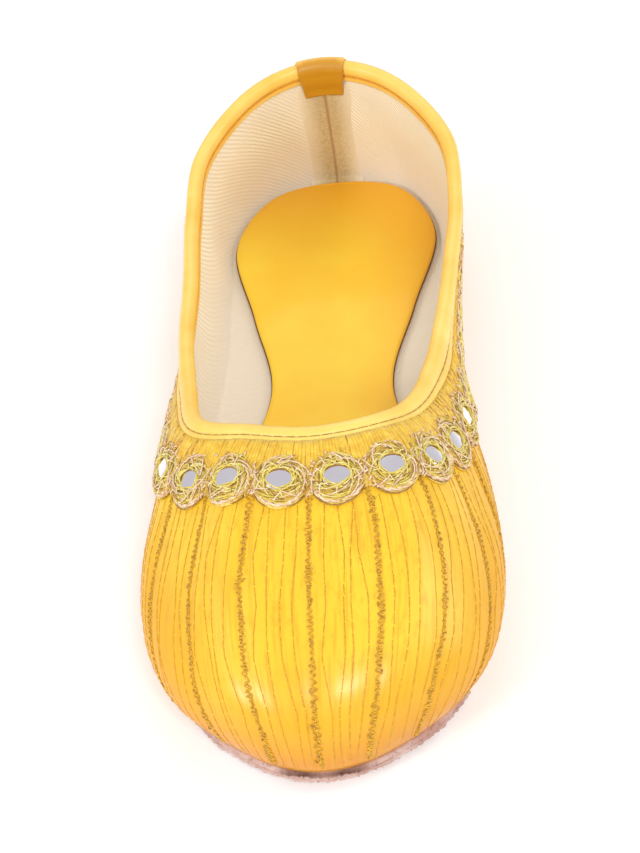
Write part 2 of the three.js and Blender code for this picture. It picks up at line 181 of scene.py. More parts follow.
class Finish:
    """A node material round one principled shader. Its colours are given in screen values."""

    def __init__(self, name, base, roughness, **constants):
        self.material = bpy.data.materials.new(name)
        self.material.use_nodes = True
        self.tree = self.material.node_tree
        self.shader = self.tree.nodes["Principled BSDF"]
        self.shader.inputs["Base Color"].default_value = colour(*base)
        self.shader.inputs["Roughness"].default_value = roughness
        for socket, value in constants.items():
            self.shader.inputs[socket.replace("_", " ")].default_value = value
        self.height = None

    def node(self, kind, inputs=(), **settings):
        node = self.tree.nodes.new(kind)
        for key, value in settings.items():
            setattr(node, key, value)
        for socket, value in dict(inputs).items():
            if isinstance(value, bpy.types.NodeSocket):
                self.tree.links.new(value, node.inputs[socket])
            else:
                node.inputs[socket].default_value = value
        return node

    def place(self):
        """Coordinates in metres, in the shoe's own frame."""
        return self.node("ShaderNodeTexCoord").outputs["Object"]

    def cut(self, scale=(1, 1, 1), turn=0.0):
        """Coordinates on the flat cut piece."""
        flat = self.node("ShaderNodeUVMap", uv_map="cut").outputs["UV"]
        moved = self.node("ShaderNodeMapping", {"Vector": flat, "Scale": scale, "Rotation": (0, 0, turn)})
        return moved.outputs["Vector"]

    def axis(self, name, where=None):
        """One coordinate: X, Y or Z."""
        return self.node("ShaderNodeSeparateXYZ", {"Vector": where or self.place()}).outputs[name]

    def worked(self, operation, first, second=0.0):
        """Two factors worked into one, such as by MULTIPLY."""
        return self.node("ShaderNodeMath", {0: first, 1: second}, operation=operation).outputs[0]

    def noise(self, size, where=None, detail=3.0, stretch=0.5):
        """Cloudy pattern with patches of about that size: in millimetres, or in where's own units."""
        inputs = {"Vector": where or self.place(), "Detail": detail, "Roughness": stretch}
        inputs["Scale"] = 1 / size if where else 1 / (size * MM)
        return self.node("ShaderNodeTexNoise", inputs).outputs["Fac"]

    def between(self, factor, low, high):
        """Stretches a factor so that low becomes 0 and high becomes 1."""
        inputs = {"Value": factor, "From Min": low, "From Max": high}
        return self.node("ShaderNodeMapRange", inputs, clamp=True).outputs["Result"]

    def mixed(self, factor, first, second):
        node = self.node("ShaderNodeMix", {0: factor}, data_type="RGBA")
        for socket, value in ((node.inputs[6], first), (node.inputs[7], second)):
            if isinstance(value, bpy.types.NodeSocket):
                self.tree.links.new(value, socket)
            else:
                socket.default_value = colour(*value)
        return node.outputs[2]

    def graded(self, factor, low, high, first, second):
        """Goes from the first colour to the second as a factor goes from low to high."""
        return self.mixed(self.between(factor, low, high), first, second)

    def paint(self, tone):
        self.tree.links.new(tone, self.shader.inputs["Base Color"])

    def rough(self, factor, low, high):
        spread = self.node("ShaderNodeMapRange", {"Value": factor, "To Min": low, "To Max": high})
        self.tree.links.new(spread.outputs["Result"], self.shader.inputs["Roughness"])

    def bump(self, height, depth, strength=1.0):
        """Adds fine relief of that depth in millimetres, over what is there already."""
        inputs = {"Height": height, "Distance": depth * MM, "Strength": strength}
        if self.height is not None:
            inputs["Normal"] = self.height
        self.height = self.node("ShaderNodeBump", inputs).outputs["Normal"]
        self.tree.links.new(self.height, self.shader.inputs["Normal"])


sole_rows = round_rows(SOLE_EDGE * (HALF_BALL, HALF_LENGTH))


def sole_point(place, inset, share):
    flat = round_line(sole_rows, place) - outward(sole_rows, place) * inset[..., None]
    y = flat[..., 1]
    arch = ARCH_LIFT * np.sin(np.pi * np.clip((y - ARCH_RANGE[0]) / np.ptp(ARCH_RANGE), 0, 1)) ** 2
    under = toe_lift(y) + arch
    return np.concatenate([flat, (under + (sole_top(y) - under) * share)[..., None]], -1)


def across_ring(ring, first, start, rows, flip, dish):
    """Fills a ring of points, numbered from first, with faces straight across the shoe."""
    columns = len(ring)
    left = np.arange(1, columns // 2)
    share = np.linspace(0, 1, rows + 2)[1:-1]
    near, far = ring[left], ring[columns - left]
    inner = near[:, None] + (far - near)[:, None] * share[None, :, None]
    inner[..., 2] -= dish * np.sin(np.pi * share) ** 2
    middle = start + np.arange(len(left) * rows).reshape(-1, rows)
    number = np.column_stack([first + left, middle, first + columns - left])
    corners = [number[:-1, :-1], number[:-1, 1:], number[1:, 1:], number[1:, :-1]]
    toe = np.array([[first, *number[0][::-1]]])
    heel = np.array([[first + columns // 2, *number[-1]]])
    groups = [np.stack(corners, -1).reshape(-1, 4), toe, heel]
    return inner.reshape(-1, 3), [group[:, ::-1] for group in groups] if flip else groups


def closed_slab(rings, rows, dish=0.0):
    """A slab from rings of points up its side, closed below and above; dish hollows its top."""
    columns = len(rings[0])
    points = [np.concatenate(rings)]
    faces = [grid_faces(len(rings), columns, close_columns=True)]
    for number, flip, hollow in ((0, False, 0.0), (len(rings) - 1, True, dish)):
        start = sum(len(part) for part in points)
        fill, groups = across_ring(rings[number], number * columns, start, rows, flip, hollow)
        points.append(fill)
        faces.extend(groups)
    return np.concatenate(points), faces


def cut_outsole():
    place = places_round(SOLE_COLUMNS)
    lower, higher = lumps(place, LOWER_LUMPS), lumps(place, UPPER_LUMPS)
    gaping = GAPE * np.exp(-(from_toe(place) / GAPE_REACH) ** 2)
    rings = []
    for share, inset, lumpy in SOLE_SIDE:
        uneven = inset + TRIM + lumpy * (lower if share < 0.5 else higher)
        rings.append(sole_point(place, np.maximum(uneven, LEAST_TRIM), share * (1 - gaping)))
    return closed_slab(rings, UNDERSIDE_ROWS)


raw_leather = Finish("raw_leather", (224, 180, 160), 0.85)
pale = raw_leather.graded(raw_leather.noise(9, detail=4), 0.35, 0.7, (184, 143, 131), (222, 196, 186))
fibre = raw_leather.noise(0.7, detail=5)
pale = raw_leather.graded(fibre, 0.58, 0.76, pale, (120, 78, 64))
# the toe's seam stands open a little; the dark brown in it is painted shade in the gap, with a dark glue line
at_toe = raw_leather.between(raw_leather.axis("Y"), -0.1182, -0.1204)
in_seam = raw_leather.between(raw_leather.axis("Z"), 0.0055, 0.006)
raw_leather.paint(raw_leather.mixed(raw_leather.worked("MULTIPLY", at_toe, in_seam), pale, (92, 52, 40)))
raw_leather.rough(fibre, 0.75, 0.95)
raw_leather.bump(fibre, 0.35, 0.7)
outsole = make_piece("outsole_leather", [raw_leather], *cut_outsole())
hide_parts("outsole")

# Upper
# One lasted wall of yellow leather with a cream canvas lining, pasted together and turned under the insole.
# Rows of sewing pull soft troughs into the vamp, and the toe keeps small gathers where it meets the sole.
LEATHER = 2.0
GAP = 0.3
FEATHER_INSET = 0.8
MARGIN_LAP = 6.0
HEEL_HEIGHT = 51.2
# the collar edge: x in half ball widths, y in half lengths, height in heel heights
COLLAR_EDGE = np.array([
    (0, -0.417, 0.928), (0.365, -0.383, 0.898), (0.604, -0.293, 0.8), (0.738, -0.136, 0.713),
    (0.83, 0.041, 0.678), (0.902, 0.247, 0.674), (0.964, 0.476, 0.713), (0.907, 0.694, 0.82),
    (0.524, 0.878, 0.947), (0, 0.941, 1),
])
# the angle at which the wall leaves the sole and its pull, then the same where it falls from the collar
WALL_BEND = np.array([
    (78, 0.49, 13, 0.78), (68.5, 0.502, 17, 0.752), (48.5, 0.507, 46.5, 0.663), (63.5, 0.329, 58.5, 0.412),
    (72, 0.217, 86.5, 0.385), (66, 0.25, 100, 0.24), (62, 0.25, 102, 0.23), (62, 0.273, 99, 0.273),
    (64, 0.273, 90, 0.313), (70, 0.273, 84, 0.352),
])
# on the -X side the throat's corner is cut wider: added there to x, y and the collar's pull, by section
WIDE_CORNER = {
    2: (0.117, -0.014, -0.192), 3: (0.098, -0.016, -0.153), 4: (0.083, 0, -0.019), 5: (0.032, 0, 0),
}
# the insole's edge: x in half ball widths and y in half lengths
INSOLE_EDGE = np.array([
    (0, -0.945), (0.346, -0.891), (0.671, -0.748), (0.829, -0.493), (0.646, -0.213),
    (0.42, 0.091), (0.58, 0.378), (0.761, 0.673), (0.51, 0.885), (0, 0.938),
])
wide_edge = np.zeros((HEEL + 1, 3))
wide_bend = np.zeros((HEEL + 1, 4))
for section, (x, y, pull) in WIDE_CORNER.items():
    wide_edge[section, :2] = x, y
    wide_bend[section, 3] = pull
edge_sizes = np.array([HALF_BALL, HALF_LENGTH, HEEL_HEIGHT])
collar_rows = round_rows(COLLAR_EDGE * edge_sizes, wide_edge * edge_sizes)
insole_rows = round_rows(INSOLE_EDGE * (HALF_BALL, HALF_LENGTH))
bend_rows = np.vstack([WALL_BEND, (WALL_BEND + wide_bend)[HEEL - 1:0:-1]])

FINE = 64
FINE_ROWS = 160
CURVE_STEPS = 241
fine_place = np.arange(ROUND * FINE) / FINE


def last_wall():
    """The wall's outer face over the last: points by place and by share of the run down from the collar."""
    bend = round_line(bend_rows, fine_place)
    base, top = np.radians(bend[:, 0]), np.radians(bend[:, 2])
    out_sole = outward(sole_rows, fine_place)
    out_collar = outward(collar_rows, fine_place)
    foot = round_line(sole_rows, fine_place) - out_sole * FEATHER_INSET
    foot = np.column_stack([foot, sole_top(foot[:, 1]) + GAP])
    leaving = np.column_stack([out_sole * np.cos(base)[:, None], np.sin(base)])
    falling = np.column_stack([out_collar * np.cos(top)[:, None], -np.sin(top)])
    edge = round_line(collar_rows, fine_place)
    low = foot + leaving * (bend[:, 1] * HEEL_HEIGHT)[:, None]
    high = edge + falling * (bend[:, 3] * HEEL_HEIGHT)[:, None]
    t = np.linspace(0, 1, CURVE_STEPS)[None, :, None]
    curve = (edge[:, None] * (1 - t) ** 3 + 3 * high[:, None] * (1 - t) ** 2 * t
             + 3 * low[:, None] * (1 - t) * t ** 2 + foot[:, None] * t ** 3)
    run = np.cumsum(np.linalg.norm(np.diff(curve, axis=1), axis=2), axis=1)
    run = np.column_stack([np.zeros(len(run)), run])
    shares = np.linspace(0, 1, FINE_ROWS + 1)
    points = np.array([
        [np.interp(shares * run[i, -1], run[i], curve[i, :, axis]) for axis in range(3)]
        for i in range(len(run))
    ]).transpose(0, 2, 1)
    return points, run[:, -1]


wall, wall_run = last_wall()
wall_down = unit(np.gradient(wall, axis=1))
wall_along = np.roll(wall, -1, axis=0) - np.roll(wall, 1, axis=0)
wall_out = unit(np.cross(wall_along, -wall_down))
wall_fields = np.concatenate([wall, wall_out, wall_down], -1)


def wall_length(place):
    """Run down the wall from the collar edge to the sole."""
    around = np.append(fine_place, ROUND)
    return np.interp(np.asarray(place) % ROUND, around, np.append(wall_run, wall_run[0]))


def on_wall(place, depth):
    """Point, outward and downward directions at a place and a depth below the collar edge."""
    place, depth = np.broadcast_arrays(np.asarray(place, float), np.asarray(depth, float))
    column = (place % ROUND) * FINE
    i = np.floor(column).astype(int) % (ROUND * FINE)
    f = (column - np.floor(column))[..., None]
    row = np.clip(depth / wall_length(place), 0, 1) * FINE_ROWS
    j = np.minimum(np.floor(row).astype(int), FINE_ROWS - 1)
    g = (row - j)[..., None]
    i2 = (i + 1) % (ROUND * FINE)
    low = wall_fields[i, j] * (1 - f) + wall_fields[i2, j] * f
    high = wall_fields[i, j + 1] * (1 - f) + wall_fields[i2, j + 1] * f
    fields = low * (1 - g) + high * g
    return fields[..., :3], unit(fields[..., 3:6]), unit(fields[..., 6:])


def outside(place, depth, lift=0.0):
    point, out, _ = on_wall(place, depth)
    return point + out * np.asarray(lift)[..., None]


def inside(place, depth, lift=0.0):
    return outside(place, depth, -LEATHER - np.asarray(lift))


EDGE_RUN = math.pi * LEATHER / 2


def over_collar(place, run, lift):
    """A point by its run over the collar edge: below 0 outside, past EDGE_RUN inside."""
    place, run, lift = np.broadcast_arrays(*(np.asarray(v, float) for v in (place, run, lift)))
    edge, out, down = on_wall(place, 0.0)
    angle = np.clip(run / EDGE_RUN, 0, 1) * np.pi
    turned = out * np.cos(angle)[..., None] - down * np.sin(angle)[..., None]
    rounded = edge - out * (LEATHER / 2) + turned * (LEATHER / 2 + lift)[..., None]
    outer = outside(place, np.maximum(-run, 0), lift)
    inner = inside(place, np.maximum(run - EDGE_RUN, 0), lift)
    return np.where((run <= 0)[..., None], outer, np.where((run >= EDGE_RUN)[..., None], inner, rounded))


# the line of ring centres round the collar sets where the rows of sewing start
RING_DEPTH = 14.2
RINGS_PER_SIDE = 16
HEEL_RING_OFFSET = 21.0
half_places = np.linspace(0, HEEL, HEEL * 48 + 1)


def runs_along(line):
    """Length along a line of points, from its start to each point."""
    return np.append(0, np.cumsum(np.linalg.norm(np.diff(line, axis=0), axis=1)))


ring_runs = runs_along(outside(half_places, RING_DEPTH))
RING_RUN = ring_runs[-1]
RING_PITCH = (RING_RUN - HEEL_RING_OFFSET) / (RINGS_PER_SIDE - 0.5)
MM_PER_PLACE = 2 * RING_RUN / ROUND
# the wider side has as many rings, so its runs are counted in the same total
wide_runs = runs_along(outside(-half_places, RING_DEPTH))
wide_runs = wide_runs * (RING_RUN / wide_runs[-1])


def run_at(place):
    """Run along the ring line from the middle of the throat, below 0 on the -X side."""
    place = from_toe(place)
    return np.interp(place, half_places, ring_runs) - np.interp(-place, half_places, wide_runs)


VAMP_ROWS = 5
FINE_PER_RING = 4
ROW_START = RING_DEPTH + 5.0
# depth and half width of the troughs along the thick rows, and along the fine ones between them
ROW_TROUGH, ROW_TROUGH_HALF = 0.26, 2.1
FINE_TROUGH, FINE_TROUGH_HALF = 0.04, 0.7
SIDE_TROUGH_SHARE = 0.4
# height of the gathers, how far they reach up the wall, and how far round from the toe in sections
GATHER_DEPTH, GATHER_RISE, GATHER_REACH = 0.34, 6.0, 1.9
SIDE_GATHER_SHARE = 0.35
# place, depth, reach along and down, and height of each soft crease
CREASES = np.array([
    (0.25, 27, 9, 6, -0.5), (-0.55, 33, 12, 7, -0.45), (0.9, 40, 8, 16, 0.45), (-1.3, 46, 9, 14, 0.4),
    (-0.15, 55, 14, 9, 0.4), (2.2, 30, 16, 8, -0.6), (-2.3, 27, 16, 9, -0.6), (3.5, 24, 9, 13, -0.7),
    (-3.6, 26, 9, 12, -0.7), (4.6, 15, 11, 8, -0.6), (-4.7, 17, 12, 8, -0.6), (6.1, 20, 14, 9, 0.5),
    (-6.0, 19, 15, 9, 0.5), (7.4, 26, 10, 8, -0.4), (-7.3, 24, 10, 9, -0.45),
])


def smooth_step(value, low, high):
    t = np.clip((value - low) / (high - low), 0, 1)
    return t * t * (3 - 2 * t)


def leather_lift(place, depth):
    """Soft relief of the leather: troughs along the sewn rows, listed creases and toe gathers."""
    depth = np.asarray(depth, float)
    turned = from_toe(place)
    row = run_at(place) / RING_PITCH
    fine = FINE_PER_RING * row
    to_row = np.abs(row - np.round(row)) * RING_PITCH
    to_fine = np.abs(fine - np.round(fine)) * RING_PITCH / FINE_PER_RING
    above_foot = wall_length(place) - depth
    sewn = smooth_step(depth, ROW_START - 4, ROW_START + 5) * smooth_step(above_foot, 0.5, 9)
    vamp = 1 - smooth_step(np.abs(row), VAMP_ROWS - 0.2, VAMP_ROWS + 1.2)
    trough = ROW_TROUGH * (SIDE_TROUGH_SHARE + (1 - SIDE_TROUGH_SHARE) * vamp)
    lift = -sewn * trough * np.exp(-(to_row / ROW_TROUGH_HALF) ** 2)
    lift = lift - sewn * vamp * FINE_TROUGH * np.exp(-(to_fine / FINE_TROUGH_HALF) ** 2)
    for crease_place, crease_depth, reach, fall, height in CREASES:
        along = (turned - crease_place) * MM_PER_PLACE / reach
        down = (depth - crease_depth) / fall
        lift = lift + height * np.exp(-along ** 2 - down ** 2)
    toe = SIDE_GATHER_SHARE + (1 - SIDE_GATHER_SHARE) * np.exp(-(turned / GATHER_REACH) ** 2)
    gathers = waves(place, (61, 97, 141), 11) * np.exp(-above_foot / GATHER_RISE)
    lift = lift + GATHER_DEPTH * gathers * smooth_step(above_foot, 0, 2) * toe
    return lift * smooth_step(depth, 6.0, 12.0)


UPPER_COLUMNS = 576
WALL_ROWS = 76
LINING_ROWS = 44
EDGE_ROWS = 5
MARGIN_CUT = 12.0
LINING_SLACK = 0.25
LINING_FILLET = 0.5


def lasted_upper():
    """Rows of points from the margin up the outside, over the collar and down the lining to the margin."""
    place = places_round(UPPER_COLUMNS)
    length = wall_length(place)
    margin = round_line(insole_rows, place) - outward(insole_rows, place) * MARGIN_LAP
    rows, cuts, lined = [], [], []

    def add(points, down, is_lining):
        rows.append(points)
        cuts.append(np.column_stack([place * MM_PER_PLACE, np.broadcast_to(down, place.shape)]))
        lined.append(is_lining)

    def add_margin(foot, shares, rise, is_lining):
        for share in shares:
            flat = margin + (foot[:, :2] - margin) * share
            level = np.column_stack([flat, sole_top(flat[:, 1]) + rise])
            add(level, length + MARGIN_CUT * (1 - share), is_lining)

    add_margin(outside(place, length), (0.0, 0.3, 0.6, 0.85), GAP, False)
    for share in np.linspace(1, 0, WALL_ROWS):
        depth = length * share
        add(outside(place, depth, leather_lift(place, depth)), depth, False)
    for run in np.linspace(0, EDGE_RUN, EDGE_ROWS + 2)[1:-1]:
        add(over_collar(place, run, 0.0), -run, run > EDGE_RUN / 2)
    for share in np.linspace(0, 1, LINING_ROWS):
        depth = length * share
        slack = LINING_SLACK * waves(place + depth * 0.02, (13, 22), 21) * smooth_step(depth, 6, 14)
        points = inside(place, depth, slack)
        floor = sole_top(points[:, 1]) + GAP + LEATHER
        near = smooth_step(points[:, 2] - floor, -2.0, 4.0)
        points[:, 2] = np.maximum(points[:, 2], floor) + LINING_FILLET * (1 - near) * near
        add(points, depth, True)
    add_margin(rows[-1], (0.7, 0.35, 0.0), GAP + LEATHER, True)
    faces = [grid_faces(len(rows), UPPER_COLUMNS, close_rows=True, close_columns=True)]
    finish_of = np.repeat(lined, UPPER_COLUMNS)
    return np.concatenate(rows), faces, np.concatenate(cuts), finish_of


yellow = Finish("yellow_leather", (238, 190, 40), 0.45, Coat_Weight=0.6, Coat_Roughness=0.28,
                Specular_IOR_Level=0.15)
tone = yellow.graded(yellow.noise(26), 0.3, 0.72, (236, 186, 36), (245, 209, 56))
# darker amber towards the sole, partly the leather's own tone and partly painted shade low on the wall, then
# streaks down the wall and a dapple over them
tone = yellow.graded(yellow.axis("Z"), 0.031, 0.011, tone, (218, 143, 18))
streaks = yellow.noise(1.0, yellow.cut((0.9, 0.05, 1)), detail=4)
tone = yellow.graded(streaks, 0.5, 0.8, tone, (220, 160, 26))
dapple = yellow.noise(2.2, yellow.cut((1, 0.45, 1)), detail=5, stretch=0.6)
yellow.paint(yellow.graded(dapple, 0.52, 0.8, tone, (222, 166, 36)))
grain = yellow.noise(0.55, detail=6, stretch=0.6)
yellow.rough(grain, 0.36, 0.54)
yellow.bump(grain, 0.06, 0.5)
yellow.bump(dapple, 0.1, 0.3)
yellow.bump(streaks, 0.07, 0.3)

RIB_PITCH = 1.2
canvas = Finish("lining_canvas", (246, 239, 219), 0.9, Sheen_Weight=0.2)
ribs = canvas.node("ShaderNodeTexWave", {
    "Vector": canvas.cut((1 / RIB_PITCH, 1 / RIB_PITCH, 1), math.radians(-45)), "Scale": 0.32,
    "Distortion": 1.6, "Detail": 3.0, "Detail Scale": 1.5,
}, wave_type="BANDS").outputs["Fac"]
cloth = canvas.graded(ribs, 0.1, 0.7, (229, 217, 189), (253, 249, 233))
cloth = canvas.graded(canvas.noise(18), 0.35, 0.75, cloth, (242, 231, 210))
# painted shade: the lining darkens towards the floor inside the shoe
canvas.paint(canvas.graded(canvas.axis("Z"), 0.03, 0.01, cloth, (233, 222, 204)))
canvas.bump(ribs, 0.12, 0.5)
canvas.bump(canvas.noise(0.5), 0.1, 0.4)

upper = make_piece("upper_leather", [yellow, canvas], *lasted_upper())
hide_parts("upper")

# Insole
# A waisted sock of smooth yellow leather, pasted over the turned-in margin of the upper.
# Its dark cut edge shows as a thin line against the lining, partly the edge itself and partly painted shade
# in the gap between them.
INSOLE_THICKNESS = 1.8
INSOLE_COLUMNS = 360
INSOLE_ROWS = 30
INSOLE_DISH = 0.35
INSOLE_SEAT = GAP + LEATHER + GAP
# inset from the edge and height over the sole, from the hidden underside to the top; the board stands out
# a little under the sock
INSOLE_SIDE = (
    (MARGIN_LAP + GAP, GAP), (MARGIN_LAP + GAP, INSOLE_SEAT), (-0.1, INSOLE_SEAT),
    (-0.25, INSOLE_SEAT + 0.4), (-0.22, INSOLE_SEAT + 0.8), (0.05, INSOLE_SEAT + 0.85),
    (0.05, INSOLE_SEAT + 1.3), (0.2, INSOLE_SEAT + 1.6), (0.7, INSOLE_SEAT + INSOLE_THICKNESS),
)
DARK_SIDE_RINGS = 6


def cut_insole():
    place = places_round(INSOLE_COLUMNS)
    rings = []
    for inset, rise in INSOLE_SIDE:
        flat = round_line(insole_rows, place) - outward(insole_rows, place) * inset
        rings.append(np.column_stack([flat, sole_top(flat[:, 1]) + rise]))
    points, faces = closed_slab(rings, INSOLE_ROWS, INSOLE_DISH)
    dark = np.zeros(sum(len(group) for group in faces), bool)
    dark[:(DARK_SIDE_RINGS - 1) * INSOLE_COLUMNS] = True
    return points, faces, None, dark


sock = Finish("insole_sock", (255, 205, 55), 0.46, Coat_Weight=0.08, Specular_IOR_Level=0.3)
shade = sock.graded(sock.noise(30), 0.35, 0.7, (253, 203, 50), (255, 219, 66))
# painted shade: deeper towards the +X side, where that wall shades it, and towards the heel under the tab
shade = sock.graded(sock.axis("X"), 0.004, 0.034, shade, (228, 162, 34))
sock.paint(sock.graded(sock.axis("Y"), 0.07, 0.112, shade, (238, 176, 44)))
sock_grain = sock.noise(0.5, detail=5)
sock.rough(sock_grain, 0.4, 0.55)
sock.bump(sock_grain, 0.05, 0.4)
# the dark edge: partly the board's own cut edge, partly painted shade in the gap against the lining
edge_and_gap_shade = Finish("insole_cut_edge_and_gap_shade", (112, 66, 26), 0.8)
edge_and_gap_shade.bump(edge_and_gap_shade.noise(0.6), 0.1, 0.5)
insole = make_piece("insole_sock", [sock, edge_and_gap_shade], *cut_insole())
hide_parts("insole")

# Collar binding
# A strip of paler leather rolled over the collar edge, narrow round the throat, with a flat flange along each
# side. Fine olive stitches beside the roll sew it through the wall, and an amber row of them shows inside.
BINDING_OUTSIDE = 6.5
BINDING_THROAT = 3.4
BINDING_THROAT_END, BINDING_FULL_START = 1.5, 4.5
BINDING_INSIDE = 4.2
BINDING_COLUMNS = 720
THROAT_FULLNESS = 0.8
STITCH_ROW = 3.5
INNER_RUN = EDGE_RUN + BINDING_INSIDE
INNER_STITCH_RUN = EDGE_RUN + 2.3
# run over the collar edge and lift over the wall of the strip's face, where it is widest
BINDING_FACE = np.array([
    (-BINDING_OUTSIDE, 0.4), (-6.35, 0.7), (-5.9, 0.85), (-5.0, 0.88), (-4.1, 0.84), (-3.7, 0.66),
    (-STITCH_ROW, 0.52), (-3.25, 0.68), (-2.8, 0.98), (-2.2, 1.14), (-1.4, 1.2), (-0.5, 1.15),
    (0.4, 1.1), (1.0, 1.1), (EDGE_RUN / 2, 1.1), (2.2, 1.1), (2.8, 1.1),
    (EDGE_RUN + 0.6, 1.06), (EDGE_RUN + 1.1, 0.98), (EDGE_RUN + 1.6, 0.84), (EDGE_RUN + 2.0, 0.62),
    (INNER_STITCH_RUN, 0.46), (EDGE_RUN + 2.6, 0.6), (EDGE_RUN + 3.2, 0.7), (INNER_RUN - 0.3, 0.62),
    (INNER_RUN, 0.35),
])
BINDING_BACK = (INNER_RUN, EDGE_RUN + 2, EDGE_RUN, EDGE_RUN * 0.75, EDGE_RUN / 2, EDGE_RUN / 4, 0, -3,
                -BINDING_OUTSIDE)
BINDING_BACK_LIFT = GAP * 0.6
# lift at which the flat flange ends, and at which the strip counts as full roll
FLANGE_LIFT, ROLL_LIFT = 0.7, 1.2
# size, counts round the shoe and draw of the roll's lumps, then of the outer edge's wander
ROLL_LUMPS = ((0.04, (140, 171), 31), (0.08, (23, 37), 32))
EDGE_WANDER = ((0.15, (17, 29, 41), 33),)
WANDERING_RIM = 0.5


def binding_share(place):
    """0 round the throat to 1 from the sides back."""
    return smooth_step(np.abs(from_toe(place)), BINDING_THROAT_END, BINDING_FULL_START)


def binding_reach(place):
    return BINDING_THROAT + (BINDING_OUTSIDE - BINDING_THROAT) * binding_share(place)


def on_binding(place, run, lift):
    """A point of the binding: its outer side and its fullness shrink round the throat."""
    narrowed = np.where(run < 0, run * binding_reach(place) / BINDING_OUTSIDE, run)
    fullness = THROAT_FULLNESS + (1 - THROAT_FULLNESS) * binding_share(place)
    return over_collar(place, narrowed, lift * fullness)


def binding_lift(place, run):
    """Lift of the binding's face over the wall, with the small unevenness of hand sewing."""
    lift = np.interp(run, BINDING_FACE[:, 0], BINDING_FACE[:, 1])
    roll = np.clip((lift - FLANGE_LIFT) / (ROLL_LIFT - FLANGE_LIFT), 0, 1)
    return lift + roll * lumps(place, ROLL_LUMPS)


def rolled_binding():
    place = places_round(BINDING_COLUMNS)
    rows = []
    for run, _ in BINDING_FACE:
        wander = lumps(place, EDGE_WANDER) if run + BINDING_OUTSIDE < WANDERING_RIM else 0.0
        rows.append(on_binding(place, run + wander, binding_lift(place, run)))
    for run in BINDING_BACK:
        rows.append(on_binding(place, run, BINDING_BACK_LIFT))
    runs = [*BINDING_FACE[:, 0], *BINDING_BACK]
    cut = np.column_stack([np.tile(place * MM_PER_PLACE, len(runs)), np.repeat(runs, len(place))])
    faces = [grid_faces(len(rows), BINDING_COLUMNS, close_rows=True, close_columns=True)]
    return np.concatenate(rows), faces, cut


pale_leather = Finish("binding_leather", (250, 208, 98), 0.4, Coat_Weight=0.2, Coat_Roughness=0.3)
pale_tone = pale_leather.graded(pale_leather.noise(14), 0.3, 0.7, (246, 196, 78), (253, 216, 112))
# painted shade: darker amber in the groove of the inner stitches
to_groove = pale_leather.worked("SUBTRACT", pale_leather.axis("Y", pale_leather.cut()), INNER_STITCH_RUN)
off_groove = pale_leather.worked("ABSOLUTE", to_groove)
pale_leather.paint(pale_leather.graded(off_groove, 1.1, 0.2, pale_tone, (234, 166, 44)))
pale_grain = pale_leather.noise(0.5, detail=5)
pale_leather.rough(pale_grain, 0.34, 0.5)
pale_leather.bump(pale_grain, 0.05, 0.5)
pale_leather.bump(pale_leather.noise(1.0, pale_leather.cut((0.55, 0.12, 1)), detail=2), 0.25, 0.25)
binding = make_piece("collar_binding_leather", [pale_leather], *rolled_binding())
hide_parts("collar_binding")


def swept(paths, outs, radius, sides=5, closed=False, flat=1.0):
    """Threads: round bodies along many paths of like length, laid with outs as their upward side."""
    count, steps = paths.shape[:2]
    if closed:
        ahead = np.roll(paths, -1, axis=1) - np.roll(paths, 1, axis=1)
    else:
        ahead = np.gradient(paths, axis=1)
    ahead = unit(ahead)
    beside = unit(np.cross(ahead, outs))
    upward = np.cross(beside, ahead)
    angle = (np.arange(sides) * 2 * np.pi / sides)[:, None]
    thick = np.broadcast_to(np.asarray(radius, float), (count, steps))[..., None, None]
    ring = beside[:, :, None] * np.cos(angle) + flat * upward[:, :, None] * np.sin(angle)
    points = paths[:, :, None] + ring * thick
    one = grid_faces(steps, sides, close_rows=closed, close_columns=True)
    starts = np.arange(count)[:, None, None] * steps * sides
    faces = [(one[None] + starts).reshape(-1, 4)]
    if not closed:
        low = np.arange(sides)
        first = starts[:, 0] + low[::-1]
        last = starts[:, 0] + (steps - 1) * sides + low
        faces.append(np.concatenate([first, last]))
    return points.reshape(-1, 3), faces


def joined(parts):
    """Several groups of threads as one set of points and faces."""
    points, faces, start = [], {}, 0
    for part_points, part_faces in parts:
        points.append(part_points)
        for group in part_faces:
            faces.setdefault(group.shape[1], []).append(group + start)
        start += len(part_points)
    return np.concatenate(points), [np.concatenate(groups) for groups in faces.values()]


def sew(name, threads, finish):
    """A piece of sewn thread."""
    make_piece(name, [finish], *threads)


rng = np.random.default_rng(7)
STITCH_LENGTH = 2.85
STITCH_STEP = 3.1
STITCH_RADIUS = 0.15
STITCH_RISE = 0.14
OUTER_SEAT, INNER_SEAT = 0.54, 0.44
STITCH_SHIFT, STITCH_SKEW = 0.05, 0.04
STITCH_SHAPE = np.linspace(-0.5, 0.5, 6)


def stitch_sag(shape):
    """A stitch stands up in its middle and goes down into the leather at both ends."""
    return 1 - (2 * shape) ** 4


def binding_stitches():
    """The rows outside and inside, sewn through the same places."""
    around = np.linspace(0, ROUND, 2001)
    runs = runs_along(over_collar(around, -STITCH_ROW, 0.0))
    count = int(runs[-1] / STITCH_STEP)
    middles = (np.arange(count) + 0.5) * runs[-1] / count
    along = middles[:, None] + STITCH_SHAPE * STITCH_LENGTH
    place = np.interp(along % runs[-1], runs, around)
    shift = rng.normal(0, STITCH_SHIFT, count)[:, None]
    skew = shift + rng.normal(0, STITCH_SKEW, count)[:, None] * STITCH_SHAPE * 2
    _, out, _ = on_wall(place, STITCH_ROW)
    sewn = []
    for run, up, seat in ((-STITCH_ROW, out, OUTER_SEAT), (INNER_STITCH_RUN, -out, INNER_SEAT)):
        lift = seat + STITCH_RISE * stitch_sag(STITCH_SHAPE)
        sewn.append(swept(on_binding(place, run + skew, lift), up, STITCH_RADIUS))
    return sewn


